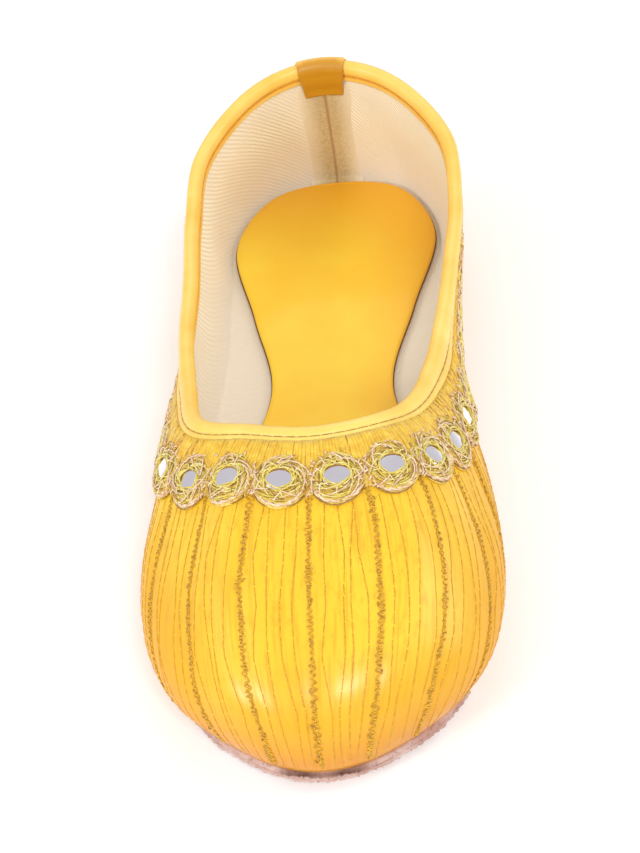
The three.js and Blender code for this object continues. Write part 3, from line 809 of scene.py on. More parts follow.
olive_thread = Finish("olive_thread", (168, 136, 48), 0.7, Sheen_Weight=0.3)
olive_twist = olive_thread.noise(0.3, detail=2)
olive_thread.paint(olive_thread.graded(olive_twist, 0.35, 0.7, (140, 106, 34), (196, 160, 66)))
olive_thread.bump(olive_twist, 0.1, 0.6)
amber_stitch = Finish("amber_stitch_thread", (214, 150, 44), 0.7, Sheen_Weight=0.1)
amber_stitch.paint(amber_stitch.mixed(amber_stitch.noise(0.3, detail=2), (190, 124, 30), (234, 172, 62)))
outer_row, inner_row = binding_stitches()
sew("collar_stitches", outer_row, olive_thread)
sew("collar_inner_stitches", inner_row, amber_stitch)

# Heel strip
# A plain strip of amber leather up the centre back, its middle left full between two rows of stitch holes.
# It goes over the binding and is folded in behind the collar as a short tab, over the lining's back stay.
STRIP_HALF = 7.6
STRIP_FOOT_HALF = 5.8
STRIP_FOLD_HALF = 7.9
STRIP_TAB_HALF = 6.6
STRIP_THICKNESS, STRIP_LEAST = 0.8, 0.25
STRIP_FOLD = 9.5
STRIP_ROWS = 170
STRIP_COLUMNS = 53
FOLD_THINNING = 0.2
# the full middle ends in a round top just under the roll
FULL_TOP = -2.0
FULL_ROUND = 4.6
FULL_LIFT = 1.15
HOLE_STEP = 3.5
HOLE_START = 6.4
HOLE_LINE = 0.74
HOLE_LENGTH = 1.3
HOLE_RADIUS = 0.42
HOLE_SEAT, HOLE_RISE = 0.42, 0.12
HOLE_TROUGH, HOLE_TROUGH_HALF = 0.3, 0.6
# the stitch that closes the full middle: its length, seat and thickness beside the others'
TOP_STITCH, TOP_SEAT, TOP_SHARE = 2.6, 0.75, 0.7
# run over the collar edge and lift of the strip's back: on the wall, over the binding, then down inside
STRIP_SEAT = np.array([
    (-60, GAP), (-9.6, GAP), (-6.6, 1.0), (-3.7, 1.0), (-2.4, 1.3), (0, 1.3), (EDGE_RUN, 1.25),
    (EDGE_RUN + 2.4, 1.1), (EDGE_RUN + 4.6, 0.85), (EDGE_RUN + 7.0, GAP), (EDGE_RUN + STRIP_FOLD, GAP),
])
heel_reach = np.linspace(0, 2.2, 45)
strip_foot = float(wall_length(HEEL)) - 2 * GAP


def beside_heel(depth, distance):
    """Place at a distance beside the centre back, at a depth below the collar: either side."""
    depth, distance = np.broadcast_arrays(np.asarray(depth, float), np.asarray(distance, float))
    line = outside(HEEL - heel_reach, depth[..., None] + 0 * heel_reach)
    runs = np.cumsum(np.linalg.norm(np.diff(line, axis=-2), axis=-1), axis=-1)
    runs = np.concatenate([np.zeros_like(runs[..., :1]), runs], -1).reshape(-1, len(heel_reach))
    found = np.array([np.interp(d, r, heel_reach) for d, r in zip(np.abs(distance).ravel(), runs)])
    return HEEL - np.sign(distance) * found.reshape(distance.shape)


def laid(place, depth, lift, radius, **shape):
    """Threads along places and depths of the wall, at a lift over it."""
    _, out, _ = on_wall(place, depth)
    return swept(outside(place, depth, lift), out, radius, **shape)


def strip_lift(run):
    return np.interp(run, STRIP_SEAT[:, 0], STRIP_SEAT[:, 1])


def strip_half(run):
    """Half the strip's width: narrower at the foot and at the end of the tab."""
    return np.interp(run, [-strip_foot, -8, EDGE_RUN, EDGE_RUN + STRIP_FOLD],
                     [STRIP_FOOT_HALF, STRIP_HALF, STRIP_FOLD_HALF, STRIP_TAB_HALF])


def sheet_faces(rows, columns):
    """Face, back and edges of a sheet whose two grids follow each other."""
    count = rows * columns
    number = np.arange(count).reshape(rows, columns)
    rim = np.concatenate([number[0, :-1], number[:-1, -1], number[-1, :0:-1], number[:0:-1, 0]])
    turned = np.roll(rim, -1)
    sides = np.stack([turned, rim, rim + count, turned + count], -1)
    return [grid_faces(rows, columns), grid_faces(rows, columns, start=count)[:, ::-1], sides]


def folded_strip():
    run = np.linspace(-strip_foot, EDGE_RUN + STRIP_FOLD, STRIP_ROWS)
    run, share = np.meshgrid(run, np.linspace(-1, 1, STRIP_COLUMNS), indexing="ij")
    depth = np.where(run < 0, -run, np.maximum(run - EDGE_RUN, 0))
    distance = strip_half(run) * share
    place = beside_heel(np.minimum(depth, strip_foot), distance)
    aside = np.abs(share)
    top_round = smooth_step(np.hypot(np.maximum(run - FULL_TOP + FULL_ROUND, 0), distance), 5.4, 4.2)
    full = np.sqrt(smooth_step(aside, HOLE_LINE + 0.02, HOLE_LINE - 0.3) * top_round)
    thick = STRIP_THICKNESS * smooth_step(1 - aside, -0.02, 0.06) + FULL_LIFT * full
    thin = smooth_step(run, -3.6, -2.2) * smooth_step(run, EDGE_RUN + 3.5, EDGE_RUN + 1.5)
    to_holes = (aside - HOLE_LINE) * STRIP_HALF
    trough = np.exp(-(to_holes / HOLE_TROUGH_HALF) ** 2) * smooth_step(run, -2, -5)
    thick = np.maximum(thick - HOLE_TROUGH * trough - FOLD_THINNING * thin, STRIP_LEAST)
    back = strip_lift(run)
    sheets = [over_collar(place, run, back + thick), over_collar(place, run, back)]
    points = np.concatenate(sheets).reshape(-1, 3)
    cut = np.tile(np.column_stack([share.ravel(), run.ravel()]), (2, 1))
    return points, sheet_faces(STRIP_ROWS, STRIP_COLUMNS), cut


amber = Finish("strip_leather", (230, 168, 46), 0.4, Coat_Weight=0.2, Coat_Roughness=0.3)
amber_tone = amber.graded(amber.noise(16), 0.3, 0.7, (214, 144, 32), (236, 176, 54))
# paler at its foot and outside the rows of holes
amber_tone = amber.graded(amber.axis("Z"), 0.022, 0.006, amber_tone, (228, 166, 84))
beside_middle = amber.worked("ABSOLUTE", amber.axis("X", amber.cut()))
amber_tone = amber.graded(beside_middle, 0.66, 0.8, amber_tone, (246, 192, 78))
# the fold over the collar is paler, and the tab inside is darker
up_strip = amber.axis("Y", amber.cut())
pale_fold = amber.worked("MULTIPLY", amber.between(up_strip, -3.2, -1.0), amber.between(up_strip, 1.7, 1.2))
amber_tone = amber.mixed(pale_fold, amber_tone, (244, 200, 96))
amber.paint(amber.graded(up_strip, 1.4, 2.2, amber_tone, (200, 140, 23)))
amber_grain = amber.noise(0.55, detail=5)
amber.rough(amber_grain, 0.36, 0.52)
amber.bump(amber_grain, 0.05, 0.5)
strip = make_piece("heel_strip_leather", [amber], *folded_strip())
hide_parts("heel_strip")


def strip_holes():
    """Stitch ends sunk in holes down both sides of the strip, and one that closes the full middle's top."""
    shape = np.linspace(-0.5, 0.5, 5)
    taper = HOLE_RADIUS * (1 - (1.5 * shape) ** 2)
    down = np.arange(HOLE_START, strip_foot - 1.5, HOLE_STEP)[:, None] + shape * HOLE_LENGTH
    lift = strip_lift(-down) + HOLE_SEAT + HOLE_RISE * stitch_sag(shape)
    groups = []
    for side in (-1, 1):
        place = beside_heel(down, side * HOLE_LINE * strip_half(-down))
        groups.append(laid(place, down, lift, taper, sides=8))
    top = -FULL_TOP - 0.2
    place = beside_heel(top, shape[None] * TOP_STITCH)
    groups.append(laid(place, top, strip_lift(FULL_TOP) + TOP_SEAT, taper * TOP_SHARE, sides=8))
    return joined(groups)


hole_dark = Finish("stitch_hole", (104, 58, 18), 0.8)
hole_thread = hole_dark.noise(0.5, detail=2)
hole_dark.paint(hole_dark.mixed(hole_thread, (84, 44, 14), (140, 84, 30)))
hole_dark.bump(hole_thread, 0.1, 0.5)
holes = make_piece("heel_strip_stitches", [hole_dark], *strip_holes())

STAY_HALF, STAY_TAPER = 10.5, 1.4
STAY_TOP, STAY_FOOT = 5.5, 3.4
STAY_ROWS = 40
STAY_COLUMNS = 33
STAY_TURN_ROWS = 8
STAY_TURN = 3.0
STAY_SEAM, SEAM_HALF = 0.2, 0.5


def lining_stay():
    """The strip of lining over the centre-back seam inside, from under the tab down to the insole."""
    bottom = float(wall_length(HEEL)) - STAY_FOOT
    depth = np.linspace(STAY_TOP, bottom, STAY_ROWS)[:, None]
    share = np.linspace(-1, 1, STAY_COLUMNS)
    distance = (STAY_HALF - STAY_TAPER * (depth - STAY_TOP) / (bottom - STAY_TOP)) * share
    place = beside_heel(depth, distance)
    edge = smooth_step(1 - np.abs(share), 0, 0.35)
    seam = np.exp(-((distance - 0.5 * np.sin(depth / 9)) / SEAM_HALF) ** 2)
    # below, it turns over the margin and goes in under the insole
    ends = round_line(insole_rows, place[-1])
    ends = np.column_stack([ends, sole_top(ends[:, 1]) + GAP + LEATHER])
    turn = np.linspace(0, 1, STAY_TURN_ROWS + 1)[1:, None]
    sheets = []
    for lift, rise in ((-0.25 + 0.65 * edge - STAY_SEAM * seam, 0.5 * edge - 0.2), (-0.3, -0.25)):
        sheet = inside(place, depth, lift)
        last = sheet[-1]
        flat = last + (ends - last) * turn[..., None]
        flat[..., 2] = ends[:, 2] + rise + (last[:, 2] - ends[:, 2] - rise) * (1 - turn) ** 2
        sheets.extend([sheet, flat])
    distance = np.concatenate([distance, np.repeat(distance[-1:], len(turn), axis=0)])
    along = np.concatenate([depth, bottom + STAY_TURN * turn]) + 0 * share
    cut = np.tile(np.column_stack([distance.ravel(), along.ravel()]), (2, 1))
    faces = [group[:, ::-1] for group in sheet_faces(*distance.shape)]
    return np.concatenate(sheets).reshape(-1, 3), faces, cut


stay_cloth = Finish("stay_cloth", (222, 192, 148), 0.9, Sheen_Weight=0.2)
off_seam = stay_cloth.worked("ABSOLUTE", stay_cloth.axis("X", stay_cloth.cut()))
stay_weave = stay_cloth.noise(0.9, detail=4)
# the stay's tan, darker than the lining, is painted shade at the centre back inside the heel
stay_weave_and_shade = stay_cloth.graded(stay_weave, 0.3, 0.7, (187, 163, 114), (209, 189, 144))
# browner along the seam, partly the seam itself and partly painted shade, and as pale as the lining at its
# edges
stay_weave_and_shade = stay_cloth.graded(off_seam, 0.7, 0.2, stay_weave_and_shade, (176, 138, 94))
stay_cloth.paint(stay_cloth.graded(off_seam, 2.6, 9.6, stay_weave_and_shade, (240, 228, 204)))
stay_cloth.bump(stay_weave, 0.15, 0.6)
stay = make_piece("heel_lining_stay", [stay_cloth], *lining_stay())

# Mirror border ground
# A band of couched thread under the mirrors, sewn round the collar below the binding, its lower edge
# scalloped. At the heel the same band runs down both sides of the strip.
BORDER_START = 0.4
RING_RADIUS = 6.4
SCALLOP_NOTCH = 3.4
SCALLOP_DROP = 1.22
BORDER_LIFT, BORDER_EDGE_LIFT, BORDER_BACK_LIFT = 0.9, 0.3, 0.12
GROUND_STEP = 0.75
GROUND_ROWS = 16
RINGS_PER_LEG = 3
LEG_PITCH = 8.8
LEG_FOOT = 2.5
LEG_TOP = RING_DEPTH + SCALLOP_DROP * RING_RADIUS + 0.2
LEG_BOTTOM = RING_DEPTH + RINGS_PER_LEG * LEG_PITCH + LEG_FOOT
LEG_NEAR = STRIP_HALF + 0.4
LEG_ROWS = 44
LEG_COLUMNS = 26
strip_edge_run = RING_RUN - STRIP_HALF - 0.4


def place_at(run):
    """Place on the shoe at a run along the ring line from the middle of the throat, either way."""
    run = np.asarray(run, float)
    return np.interp(run, ring_runs, half_places) - np.interp(-run, wide_runs, half_places)


def off_ring(run):
    """Distance along the band from the middle of the nearest ring."""
    return np.abs(run) - (np.floor(np.abs(run) / RING_PITCH) + 0.5) * RING_PITCH


def scallop(distance):
    return np.maximum(SCALLOP_NOTCH, np.sqrt(np.maximum(0, RING_RADIUS ** 2 - distance ** 2)))


def border_sheet(place, depth, share, rim):
    """A thin sheet of couching on the wall, lower along its edges."""
    edge = smooth_step(np.minimum(share, 1 - share), 0, rim)
    face = outside(place, depth, BORDER_EDGE_LIFT + (BORDER_LIFT - BORDER_EDGE_LIFT) * edge)
    return np.concatenate([face, outside(place, depth, BORDER_BACK_LIFT)]).reshape(-1, 3)


def border_ground():
    run = np.linspace(-strip_edge_run, strip_edge_run, int(2 * strip_edge_run / GROUND_STEP))
    on_band = np.abs(run) < RING_RUN - HEEL_RING_OFFSET
    below = SCALLOP_DROP * np.where(on_band, scallop(off_ring(run)), RING_RADIUS)
    share = np.linspace(0, 1, GROUND_ROWS)[:, None]
    top = binding_reach(place_at(run)) + BORDER_START
    depth = top + (RING_DEPTH + below - top) * share
    return border_sheet(place_at(run), depth, share, 0.12), sheet_faces(GROUND_ROWS, len(run))


def leg_ground(side):
    depth = np.linspace(LEG_TOP, LEG_BOTTOM, LEG_ROWS)[:, None]
    aside = (depth - RING_DEPTH) - LEG_PITCH * np.round((depth - RING_DEPTH) / LEG_PITCH)
    share = np.linspace(0, 1, LEG_COLUMNS)
    distance = LEG_NEAR + (HEEL_RING_OFFSET + scallop(aside) - LEG_NEAR) * share
    points = border_sheet(beside_heel(depth, side * distance), depth, share, 0.08)
    faces = sheet_faces(LEG_ROWS, LEG_COLUMNS)
    return points, [group[:, ::-1] for group in faces] if side > 0 else faces


couching = Finish("couched_ground", (238, 196, 70), 0.6, Sheen_Weight=0.3)
couch_noise = couching.noise(0.8, detail=4)
couching.paint(couching.graded(couch_noise, 0.35, 0.65, (228, 184, 62), (250, 224, 116)))
couching.bump(couch_noise, 0.4, 0.8)
ground = make_piece("mirror_border_ground", [couching], *border_ground())
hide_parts("mirror_border")
for side, node in ((1, "heel_border_left"), (-1, "heel_border_right")):
    leg = make_piece(node + "_ground", [couching], *leg_ground(side))
    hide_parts(node)

# Mirrors
# Small round pieces of mirror glass, each laid on the border's ground and held by its ring of thread.
# Their edges are nipped by hand, so they are a little domed and not quite round.
MIRROR_RADIUS = 3.6
MIRROR_BASE = 1.1
MIRROR_SIDES = 28
MIRROR_TILT = 0.025
# height of a mirror's face at shares of its radius, from the rim's foot to the middle
MIRROR_SECTION = ((1.0, 0.0), (1.0, 0.28), (0.95, 0.42), (0.8, 0.48), (0.5, 0.53), (0.2, 0.55))
# how many nips go round the edge, and how deep they are as a share of the radius
MIRROR_NIPS = ((2, 0.02), (5, 0.012))
# every ring: its run and depth on the band, or its distance beside the heel and depth on a leg
band_rings = [("band", (ring + 0.5) * RING_PITCH, RING_DEPTH)
              for ring in range(-RINGS_PER_SIDE, RINGS_PER_SIDE)]
leg_rings = [("leg", side * HEEL_RING_OFFSET, RING_DEPTH + ring * LEG_PITCH)
             for side in (-1, 1) for ring in range(1, RINGS_PER_LEG + 1)]
all_rings = band_rings + leg_rings


def round_ring(ring, along, down):
    """Places and depths at offsets along and down from a ring's centre."""
    kind, centre, depth = ring
    if kind == "band":
        return place_at(centre + along), depth + down
    return beside_heel(depth + down, centre - np.sign(centre) * along), depth + down


def nipped_mirrors():
    groups = []
    angle = np.arange(MIRROR_SIDES) * 2 * np.pi / MIRROR_SIDES
    for ring in all_rings:
        centre, out, down = (field[0] for field in on_wall(*round_ring(ring, np.zeros(1), np.zeros(1))))
        along = np.cross(down, out)
        tilt = rng.normal(0, MIRROR_TILT, 2)
        out = unit(out + along * tilt[0] + down * tilt[1])
        spread = np.cos(angle)[:, None] * along + np.sin(angle)[:, None] * down
        uneven = 1 + sum(deep * np.sin(nips * angle + rng.uniform(0, 6)) for nips, deep in MIRROR_NIPS)
        rows = []
        for share, height in MIRROR_SECTION:
            reach = MIRROR_RADIUS * share * uneven
            rows.append(centre + spread * reach[:, None] + out * (MIRROR_BASE + height))
        faces = grid_faces(len(rows), MIRROR_SIDES, close_columns=True)[:, ::-1]
        last = (len(rows) - 1) * MIRROR_SIDES
        caps = np.stack([np.arange(MIRROR_SIDES), last + np.arange(MIRROR_SIDES)[::-1]])
        groups.append((np.concatenate(rows), [faces, caps]))
    return joined(groups)


mirror_glass = Finish("mirror_glass", (232, 226, 243), 0.15, Metallic=1.0)
mirror_glass.paint(mirror_glass.mixed(mirror_glass.noise(5, detail=2), (240, 234, 248), (252, 248, 255)))
mirror_glass.rough(mirror_glass.noise(1.5), 0.1, 0.2)
mirrors = make_piece("mirrors", [mirror_glass], *nipped_mirrors())
mirror_nodes = sorted(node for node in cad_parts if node[:7] == "mirror_" and node[7:].isdigit())
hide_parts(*mirror_nodes)

# Rings of thread
# Each mirror is held by loops of lime, pale and gold thread laid round its rim and wrapped with slanting
# stitches. A blush cord makes the scallop below it, with knots in the notches, and brown thread outlines both
# the scallops and the rings beside the heel strip.
OPENING_ALONG, OPENING_DOWN = 3.1, 2.5
LOOP_STEPS = 40
LOOP_RADIUS = 0.23
LOOP_OVAL = 0.24
LOOP_WAVE = 0.22
# how far each loop lies outside the opening, and its lift over the wall
LOOPS = np.array([
    (0.15, 1.75), (0.45, 1.75), (0.75, 1.7), (1.05, 1.6), (1.35, 1.5), (1.65, 1.4), (1.95, 1.35),
    (2.25, 1.25), (2.55, 1.2), (2.85, 1.15), (3.1, 1.1), (3.35, 1.05),
])
# a loop's sway, two and three times round, and how far outside the opening it becomes full
LOOP_SWAY, LOOP_SWAY_THREE, FULL_SWAY = 0.3, 0.26, 0.6
RIM_ARC = (-2.7, -0.44)
RIM_STEPS = 20
RIM_INSET, RIM_LIFT, RIM_RADIUS = 0.12, 1.72, 0.2
# shares along a wrapping stitch, and its lift there
WRAP_LIFT = ((0, 0.3, 0.65, 1), (1.75, 2.1, 1.9, 1.1))
CORD_ALONG, CORD_DOWN = 6.05, 7.0
CORD_WANDER = 0.12
PLY_WIND = 0.75
SCALLOP_ARC = (-0.3, math.pi + 0.3)
LEG_LINE_ARC = (-1.15, 1.15)
LEG_LINE_STEPS = 28
LEG_LINE_REACH, LEG_LINE_WANDER, LEG_LINE_LIFT, LEG_LINE_RADIUS = 6.15, 0.18, 1.3, 0.24
KNOT_RADIUS = 0.24
KNOT_LIFT, KNOT_RISE, KNOT_HEAP = 1.0, 0.5, 0.3


def opening(angle):
    return 1 / np.hypot(np.cos(angle) / OPENING_ALONG, np.sin(angle) / OPENING_DOWN)


def ring_threads(lay, rings, **shape):
    """Threads round each ring: lay gives their offsets along and down, their lift and their thickness."""
    groups = []
    for ring in rings:
        along, down, lift, radius = lay(ring)
        groups.append(laid(*round_ring(ring, along, down), lift, radius, **shape))
    return joined(groups)


def mirror_loops(numbers, seed):
    """Loops of thread round every mirror, each a little out of true."""
    draw = np.random.default_rng(seed)
    angle = np.arange(LOOP_STEPS) * 2 * np.pi / LOOP_STEPS
    out_by, loop_lift = LOOPS[list(numbers)].T[..., None]

    def lay(_):
        twice, thrice, four = draw.uniform(0, 6.28, (len(numbers), 3)).T[..., None]
        sway = LOOP_SWAY * np.sin(2 * angle + twice) + LOOP_SWAY_THREE * np.sin(3 * angle + thrice)
        sway = sway * np.minimum(1, out_by / FULL_SWAY)
        reach = opening(angle) + out_by * (1 + LOOP_OVAL * np.abs(np.sin(angle))) + sway
        lift = loop_lift + LOOP_WAVE * np.sin(4 * angle + four)
        return reach * np.cos(angle), reach * np.sin(angle), lift, LOOP_RADIUS

    return ring_threads(lay, all_rings, closed=True)


def rim_shade_threads():
    """A dark thread under the first loop, along the upper edge of every opening, as painted shade: it stands
    for the shadow and dark reflection of the loops there.
    """
    angle = np.linspace(*RIM_ARC, RIM_STEPS)[None]
    reach = opening(angle) - RIM_INSET
    radius = RIM_RADIUS * np.sin(np.linspace(0.3, 2.84, RIM_STEPS))
    along, down = reach * np.cos(angle), reach * np.sin(angle)
    return ring_threads(lambda _: (along, down, RIM_LIFT, radius), all_rings)


def loop_wraps(count, inner, outer, radius, slant, seed, rings):
    """Slanting stitches over the loops, from the mirror's edge out to the ground."""
    draw = np.random.default_rng(seed)
    shape = np.linspace(0, 1, 6)
    lift = np.interp(shape, *WRAP_LIFT)

    def lay(_):
        angle = (np.arange(count) + draw.uniform(-0.4, 0.4, count)) * 2 * np.pi / count
        lean = angle[:, None] + slant * draw.uniform(-1.0, 1.4, count)[:, None] * (shape - 0.5)
        length = (outer - inner) * shape * draw.uniform(0.75, 1.1, count)[:, None]
        reach = opening(lean) + inner + length
        return reach * np.cos(lean), reach * np.sin(lean), lift, radius

    return ring_threads(lay, rings)


def scallop_line(grow, plies, twist, ply_radius, lift, seed):
    """Cord round the lower half of every ring: plies that wind round their common middle."""
    draw = np.random.default_rng(seed)
    angle = np.linspace(*SCALLOP_ARC, LOOP_STEPS)
    apart = np.arange(plies)[:, None] * 2 * np.pi / plies
    wind = ply_radius * PLY_WIND

    def lay(ring):
        cord_down = CORD_DOWN if ring in band_rings else CORD_ALONG
        turn = draw.uniform(0, 6.28)
        phase = turn + twist * angle + apart
        wound = grow + wind * np.cos(phase) + CORD_WANDER * np.sin(4 * angle + turn)
        along, down = (CORD_ALONG + wound) * np.cos(angle), (cord_down + wound) * np.sin(angle)
        return along, down, lift + wind * np.sin(phase), ply_radius

    return ring_threads(lay, all_rings)


def leg_outline():
    """A brown thread along the rings of each leg, on the side of the heel strip."""
    angle = np.linspace(*LEG_LINE_ARC, LEG_LINE_STEPS)[None]

    def lay(ring):
        ahead = np.sign(ring[1]) if ring in band_rings else 1.0
        reach = LEG_LINE_REACH + LEG_LINE_WANDER * np.sin(7 * angle + ring[1])
        return ahead * reach * np.cos(angle), reach * np.sin(angle), LEG_LINE_LIFT, LEG_LINE_RADIUS

    return ring_threads(lay, [band_rings[0], band_rings[-1], *leg_rings])


def notch_knots(count, seed, rings):
    """Short fat stitches heaped in the notches between rings and at the top of each ring."""
    draw = np.random.default_rng(seed)
    shape = np.linspace(-0.5, 0.5, 5)
    at_top = np.arange(count) % 3 == 0

    def lay(ring):
        along = np.where(at_top, draw.normal(0, 2.4, count), -RING_PITCH / 2 + draw.normal(0, 0.9, count))
        down = np.where(at_top, draw.normal(-5.4, 0.6, count), draw.uniform(-4.4, 5.2, count))
        if ring in leg_rings:
            along, down = down, along * LEG_PITCH / RING_PITCH
        elif ring == band_rings[0]:
            along = -along
        turn = draw.uniform(0, np.pi, count)[:, None]
        length = draw.uniform(0.9, 1.8, count)[:, None] * shape
        along, down = along[:, None] + length * np.cos(turn), down[:, None] + length * np.sin(turn)
        lift = KNOT_LIFT + KNOT_RISE * stitch_sag(shape) + draw.uniform(0, KNOT_HEAP, count)[:, None]
        return along, down, lift, KNOT_RADIUS * (1 - 1.6 * shape ** 2)

    return ring_threads(lay, rings)


def thread(name, dark, mid, bright, size=0.8, metal=0.2, sheen=0.2):
    """Shiny thread in three tones, with the twist of its plies as relief."""
    finish = Finish(name, mid, 0.4, Metallic=metal, Sheen_Weight=sheen)
    speck = finish.noise(size, detail=4, stretch=0.65)
    tone = finish.graded(speck, 0.3, 0.55, dark, mid)
    finish.paint(finish.graded(speck, 0.55, 0.72, tone, bright))
    finish.rough(speck, 0.5, 0.3)
    finish.bump(finish.noise(0.22, detail=2), 0.12, 0.6)
    return finish


# the dark, the middle and the bright tone, then the size of the specks, metal and sheen
lime_gold = thread("lime_gold_thread", (200, 170, 54), (228, 206, 80), (244, 230, 130))
pale_lime = thread("pale_lime_thread", (214, 187, 100), (238, 223, 142), (252, 243, 198))
old_gold = thread("old_gold_thread", (190, 146, 56), (222, 184, 80), (246, 224, 132))
blush_gold = thread("blush_gold_thread", (204, 155, 117), (241, 214, 180), (254, 240, 219))
brown_thread = thread("brown_thread", (116, 78, 30), (162, 118, 48), (194, 150, 70), 0.6, 0.0)
# the loops that one thread makes, and their draw
sew("mirror_lime_loops", mirror_loops((0, 2, 4, 7, 10), 41), lime_gold)
sew("mirror_pale_loops", mirror_loops((1, 5, 8), 48), pale_lime)
sew("mirror_gold_loops", mirror_loops((3, 6, 9, 11), 42), old_gold)
# painted shade: a dark thread along the top edge of every opening
sew("mirror_rim_shade_threads", rim_shade_threads(), brown_thread)
# stitches on a ring, their start and end outside the opening, radius, slant, draw and rings
sew("mirror_lime_wraps", loop_wraps(9, 0.2, 3.4, 0.19, 1.2, 43, all_rings), pale_lime)
sew("mirror_brown_wraps", loop_wraps(6, 0.9, 3.6, 0.11, -1.2, 44, all_rings), brown_thread)
sew("mirror_blush_wraps", loop_wraps(8, 1.2, 4.4, 0.2, 1.6, 50, band_rings), blush_gold)
# growth of the arc, plies, twist, their radius and lift, and the draw
sew("scallop_cords", scallop_line(0.0, 2, 8, 0.32, 0.85, 45), blush_gold)
sew("scallop_outline", scallop_line(0.55, 1, 0, 0.17, 0.35, 46), brown_thread)
sew("leg_outline", leg_outline(), brown_thread)
# stitches in a heap, draw and rings
sew("notch_knots", notch_knots(20, 47, band_rings), blush_gold)
sew("notch_threads", notch_knots(9, 49, all_rings), old_gold)

# Satin threads of the border
# Straight yellow threads laid side by side from the binding down to the rings, with loose amber and gold ones
# among them along the sides. Beside the heel strip close amber threads slant from the rings to the strip.
SATIN_STEP = 0.85
SATIN_END = 2.6 * RING_PITCH
SATIN_FLAT = 0.62
SATIN_LIFT, SLANT_LIFT, MIDDLE_RISE = 0.7, 0.8, 0.25
SATIN_RING, SLANT_RING = 4.6, 5.0
SLANT_SPREAD = 0.5
SIDE_END = RING_RUN - HEEL_RING_OFFSET + 3


def satin_threads(start, end, lean, radius):
    """Threads down from the binding to the rings, between two runs on both sides of the throat."""
    run = np.arange(start, end, SATIN_STEP)
    run = np.concatenate([-run[::-1], run])[:, None]
    run = run + rng.normal(0, 0.1, run.shape)
    shape = np.linspace(0, 1, 7)
    foot = RING_DEPTH - np.sqrt(np.maximum(SATIN_RING ** 2 - off_ring(run) ** 2, 0.3)) + 0.3
    top = binding_reach(place_at(run)) - 0.2
    place = place_at(run + rng.normal(0, lean, run.shape) * (shape - 0.5))
    lift = SATIN_LIFT + MIDDLE_RISE * np.sin(np.pi * shape) + rng.normal(0, 0.08, run.shape)
    return laid(place, top + (foot - top) * shape, lift, radius, flat=SATIN_FLAT)


def slanting_threads(step, slant, radius):
    """Close threads from the rings of each leg to the heel strip, slanting now up, now down."""
    shape = np.linspace(0, 1, 8)
    top = BINDING_OUTSIDE + 0.5
    depth = np.arange(top + 0.3, strip_foot - 1.2, step)[:, None]
    ring = np.clip(np.round((depth - RING_DEPTH) / LEG_PITCH), 0, RINGS_PER_LEG)
    aside = depth - RING_DEPTH - LEG_PITCH * ring
    far = HEEL_RING_OFFSET - np.sqrt(np.maximum(SLANT_RING ** 2 - aside ** 2, 6.0))
    distance = far + (strip_half(-depth) + 0.25 - far) * shape
    up_or_down = np.where(np.arange(len(depth)) % 2, slant, -slant)[:, None]
    groups = []
    for side in (-1, 1):
        lean = up_or_down + rng.normal(0, SLANT_SPREAD, depth.shape)
        down = np.clip(depth + lean * (shape - 0.5), top, strip_foot - 1.0)
        lift = SLANT_LIFT + MIDDLE_RISE * np.sin(np.pi * shape) + rng.normal(0, 0.1, depth.shape)
        groups.append(laid(beside_heel(down, side * distance), down, lift, radius))
    return joined(groups)


satin_yellow = thread("satin_yellow_thread", (220, 168, 36), (235, 194, 53), (246, 213, 86), 2.2, 0.0)
amber_thread = thread("amber_thread", (150, 96, 24), (216, 158, 44), (244, 204, 92), 0.9, 0.1)
heel_amber = thread("heel_amber_thread", (208, 150, 44), (238, 184, 62), (250, 214, 108), 0.9, 0.0)
# first and last run, lean and radius
sew("satin_threads", satin_threads(SATIN_STEP / 2, SATIN_END, 0.25, 0.56), satin_yellow)
sew("side_band_threads", satin_threads(SATIN_END, SIDE_END, 0.6, 0.5), satin_yellow)
sew("side_band_amber", satin_threads(SATIN_END - 6, SIDE_END, 2.4, 0.3), amber_thread)
sew("side_band_gold", satin_threads(SATIN_END - 2, SIDE_END, 2.8, 0.26), old_gold)
# step, slant and radius
sew("heel_border_threads", slanting_threads(0.45, 1.9, 0.27), heel_amber)

# Rows of sewing
# Thick rows from each notch of the border down to the sole: a gold and an olive thread wave across each other
# and make a chain. Between them run fine rows of amber stitches; sides and heel have single brown rows.
CHAIN_PITCH = 1.6
CHAIN_HALF = 0.54
STEPS_PER_CHAIN = 8
CHAIN_RISE = 0.15
# a chain's unevenness: steps from one change to the next and its size, in phase, path and width
LOOSE_PHASE, LOOSE_PATH, LOOSE_WIDTH = (18, 2.2), (40, 0.3), (9, 0.4)
STITCH_DIP = 0.05
thick_rows = range(-VAMP_ROWS, VAMP_ROWS + 1)
fine_rows = [row + part + rng.normal(0, 0.03) for row in range(-VAMP_ROWS - 1, VAMP_ROWS + 1)
             for part in (0.2, 0.4, 0.6, 0.8)]
side_rows = [side * row for side in (-1, 1) for row in range(VAMP_ROWS + 1, RINGS_PER_SIDE - 1)]
side_fine_rows = [row + math.copysign(part, row) for row in side_rows for part in (0.33, 0.67)]


def across_row(base, depth, aside, step=0.01):
    """Places beside a row that runs straight down from its start, at a distance aside in millimetres."""
    apart = outside(base + step, depth) - outside(base - step, depth)
    return base + aside / (np.linalg.norm(apart, axis=-1) / (2 * step))


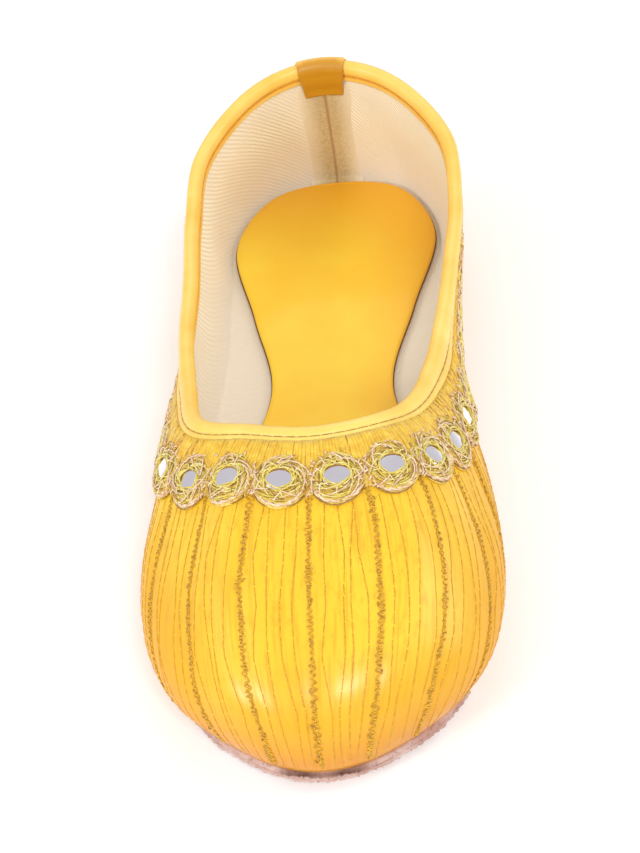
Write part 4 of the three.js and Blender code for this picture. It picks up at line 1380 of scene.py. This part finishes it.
def chain_rows(radius, phase, raise_by, seed):
    """One of the two waving threads of every thick row."""
    draw = np.random.default_rng(seed)
    groups = []

    def loose(depth, every, size):
        knots = depth[::every]
        return np.interp(depth, knots, draw.normal(0, size, len(knots)))

    for row in thick_rows:
        base = float(place_at(row * RING_PITCH))
        length = float(wall_length(base))
        steps = int((length - 3 - ROW_START) / CHAIN_PITCH * STEPS_PER_CHAIN)
        depth = np.linspace(ROW_START - 1.0, length - 2.0, steps)
        turn = depth / CHAIN_PITCH * 2 * np.pi + phase + loose(depth, *LOOSE_PHASE)
        path = loose(depth, *LOOSE_PATH)
        swing = CHAIN_HALF * (1 + loose(depth, *LOOSE_WIDTH))
        place = across_row(base, depth, swing * np.sin(turn) + path)
        lift = leather_lift(place, depth) + raise_by + CHAIN_RISE * np.cos(turn * 2)
        groups.append(laid(place[None], depth[None], lift[None], radius))
    return joined(groups)


def running_rows(rows, start, stitch, step, radius, lift, seed, wander, scatter=0.0, keep=1.0):
    """Rows of separate stitches, each a short thread that dips into the leather at its ends."""
    draw = np.random.default_rng(seed)
    groups = []
    shape = np.linspace(-0.5, 0.5, 6)
    for row in rows:
        base = float(place_at(row * RING_PITCH))
        middles = np.arange(start + step / 2, float(wall_length(base)) - 1.5, step)
        if len(middles) < 2:
            continue
        knots = middles[::4]
        bends = draw.normal(0, wander, len(knots))
        middles = middles[draw.random(len(middles)) < keep][:, None]
        depth = middles + shape * stitch * draw.uniform(0.8, 1.1, middles.shape)
        beside = np.interp(depth, knots, bends) + draw.normal(0, scatter, middles.shape)
        place = across_row(base, depth, beside + draw.normal(0, 0.08 + scatter, middles.shape) * shape)
        rise = leather_lift(place, depth) + lift * stitch_sag(shape) - STITCH_DIP
        groups.append(laid(place, depth, rise, radius))
    return joined(groups)


row_gold = thread("row_gold_thread", (176, 128, 18), (222, 170, 30), (244, 204, 66), 0.7, 0.0, 0.05)
row_olive = thread("row_olive_thread", (160, 114, 18), (208, 156, 28), (232, 186, 50), 0.6, 0.0, 0.05)
fine_amber = thread("fine_amber_thread", (192, 136, 16), (220, 162, 20), (236, 186, 40), 1.2, 0.0, 0.05)
speck_brown = thread("speck_thread", (144, 102, 24), (178, 132, 34), (200, 154, 48), 0.6, 0.0)
# chains: radius, phase, lift and draw
# stitches: rows, start, length, step, radius, lift, draw and wander
specks = running_rows(thick_rows, ROW_START, 1.0, 1.6, 0.14, 0.34, 56, 0.2, scatter=0.4, keep=0.32)
sew("vamp_gold_rows", chain_rows(0.2, 0.0, 0.1, 51), row_gold)
sew("vamp_olive_rows", chain_rows(0.18, math.pi, 0.06, 52), row_olive)
sew("vamp_row_specks", specks, speck_brown)
sew("vamp_fine_rows", running_rows(fine_rows, ROW_START + 1.5, 3.0, 3.1, 0.13, 0.07, 53, 0.65), fine_amber)
sew("side_stitch_rows", running_rows(side_rows, ROW_START + 1, 2.2, 3.1, 0.2, 0.2, 54, 0.2), brown_thread)
sew("side_fine_rows", running_rows(side_fine_rows, ROW_START + 2, 2.8, 3.1, 0.14, 0.08, 55, 0.4), fine_amber)

# Studio
# A plain pale floor under the shoe, broad soft lights from the front, and a camera at the picture's angle.
FLOOR_SIZE = 40.0
DAYLIGHT = 0.62
CAMERA_AT = (42.7, -355.3, 319.8)
CAMERA_AIM = (-1.3, -18.4, 20.0)
CAMERA_ROLL = -9.4
FOCAL_PIXELS = 1715
LONG_SIDE_PIXELS = 853
SENSOR = 36.0

floor_mesh = bpy.data.meshes.new("floor")
corner = FLOOR_SIZE / 2
corners = [(-corner, -corner, 0), (corner, -corner, 0), (corner, corner, 0), (-corner, corner, 0)]
floor_mesh.from_pydata(corners, [], [(0, 1, 2, 3)])
floor = bpy.data.objects.new("floor", floor_mesh)
bpy.context.collection.objects.link(floor)
paper = Finish("floor_paper", (250.5, 250.5, 251), 0.9, Emission_Color=(0.96, 0.98, 1, 1),
               Emission_Strength=0.08)
paper_fibre = paper.noise(3)
paper.paint(paper.mixed(paper_fibre, (249.311, 249.311, 249.888), (251.607, 251.607, 252.177)))
paper.bump(paper_fibre, 0.02, 0.2)
floor_mesh.materials.append(paper.material)

world = bpy.data.worlds.new("studio")
bpy.context.scene.world = world
world.use_nodes = True
world.node_tree.nodes["Background"].inputs["Color"].default_value = (1.0, 0.995, 0.99, 1)
world.node_tree.nodes["Background"].inputs["Strength"].default_value = DAYLIGHT


def soft_light(name, at, aim, size, power, tint=(1, 1, 1)):
    data = bpy.data.lights.new(name, "AREA")
    data.shape = "RECTANGLE"
    data.size, data.size_y = size
    data.energy = power
    data.color = tint
    light = bpy.data.objects.new(name, data)
    light.location = at
    light.rotation_euler = (Vector(aim) - Vector(at)).to_track_quat("-Z", "Y").to_euler()
    bpy.context.collection.objects.link(light)


soft_light("front_left_softbox", (-0.68, -0.66, 0.5), (0, -0.1, 0.02), (0.2, 0.14), 3.0, (1.0, 0.98, 0.96))
soft_light("top_front_panel", (0.24, -0.76, 0.82), (0.01, -0.1, 0.02), (0.34, 0.08), 4.2, (1.0, 0.98, 0.95))
soft_light("left_panel", (-0.95, 0.0, 0.75), (0, 0.0, 0.02), (0.7, 0.5), 1.5)
soft_light("right_panel", (0.95, 0.1, 0.55), (0, 0.03, 0.02), (0.7, 0.5), 3.0)
soft_light("back_panel", (0.1, 0.85, 0.8), (0, 0.05, 0.02), (0.8, 0.4), 1.6)

camera_data = bpy.data.cameras.new("camera")
camera_data.sensor_fit = "AUTO"
camera_data.sensor_width = SENSOR
camera_data.lens = FOCAL_PIXELS * SENSOR / LONG_SIDE_PIXELS
camera_data.clip_start, camera_data.clip_end = 0.01, 50
camera = bpy.data.objects.new("camera", camera_data)
camera_place = Vector(CAMERA_AT) * MM
looking = (Vector(CAMERA_AIM) * MM - camera_place).to_track_quat("-Z", "Y").to_matrix().to_4x4()
roll = Matrix.Rotation(math.radians(CAMERA_ROLL), 4, "Z")
camera.matrix_world = Matrix.Translation(camera_place) @ looking @ roll
bpy.context.collection.objects.link(camera)
bpy.context.scene.camera = camera
bpy.context.scene.view_settings.view_transform = "Standard"
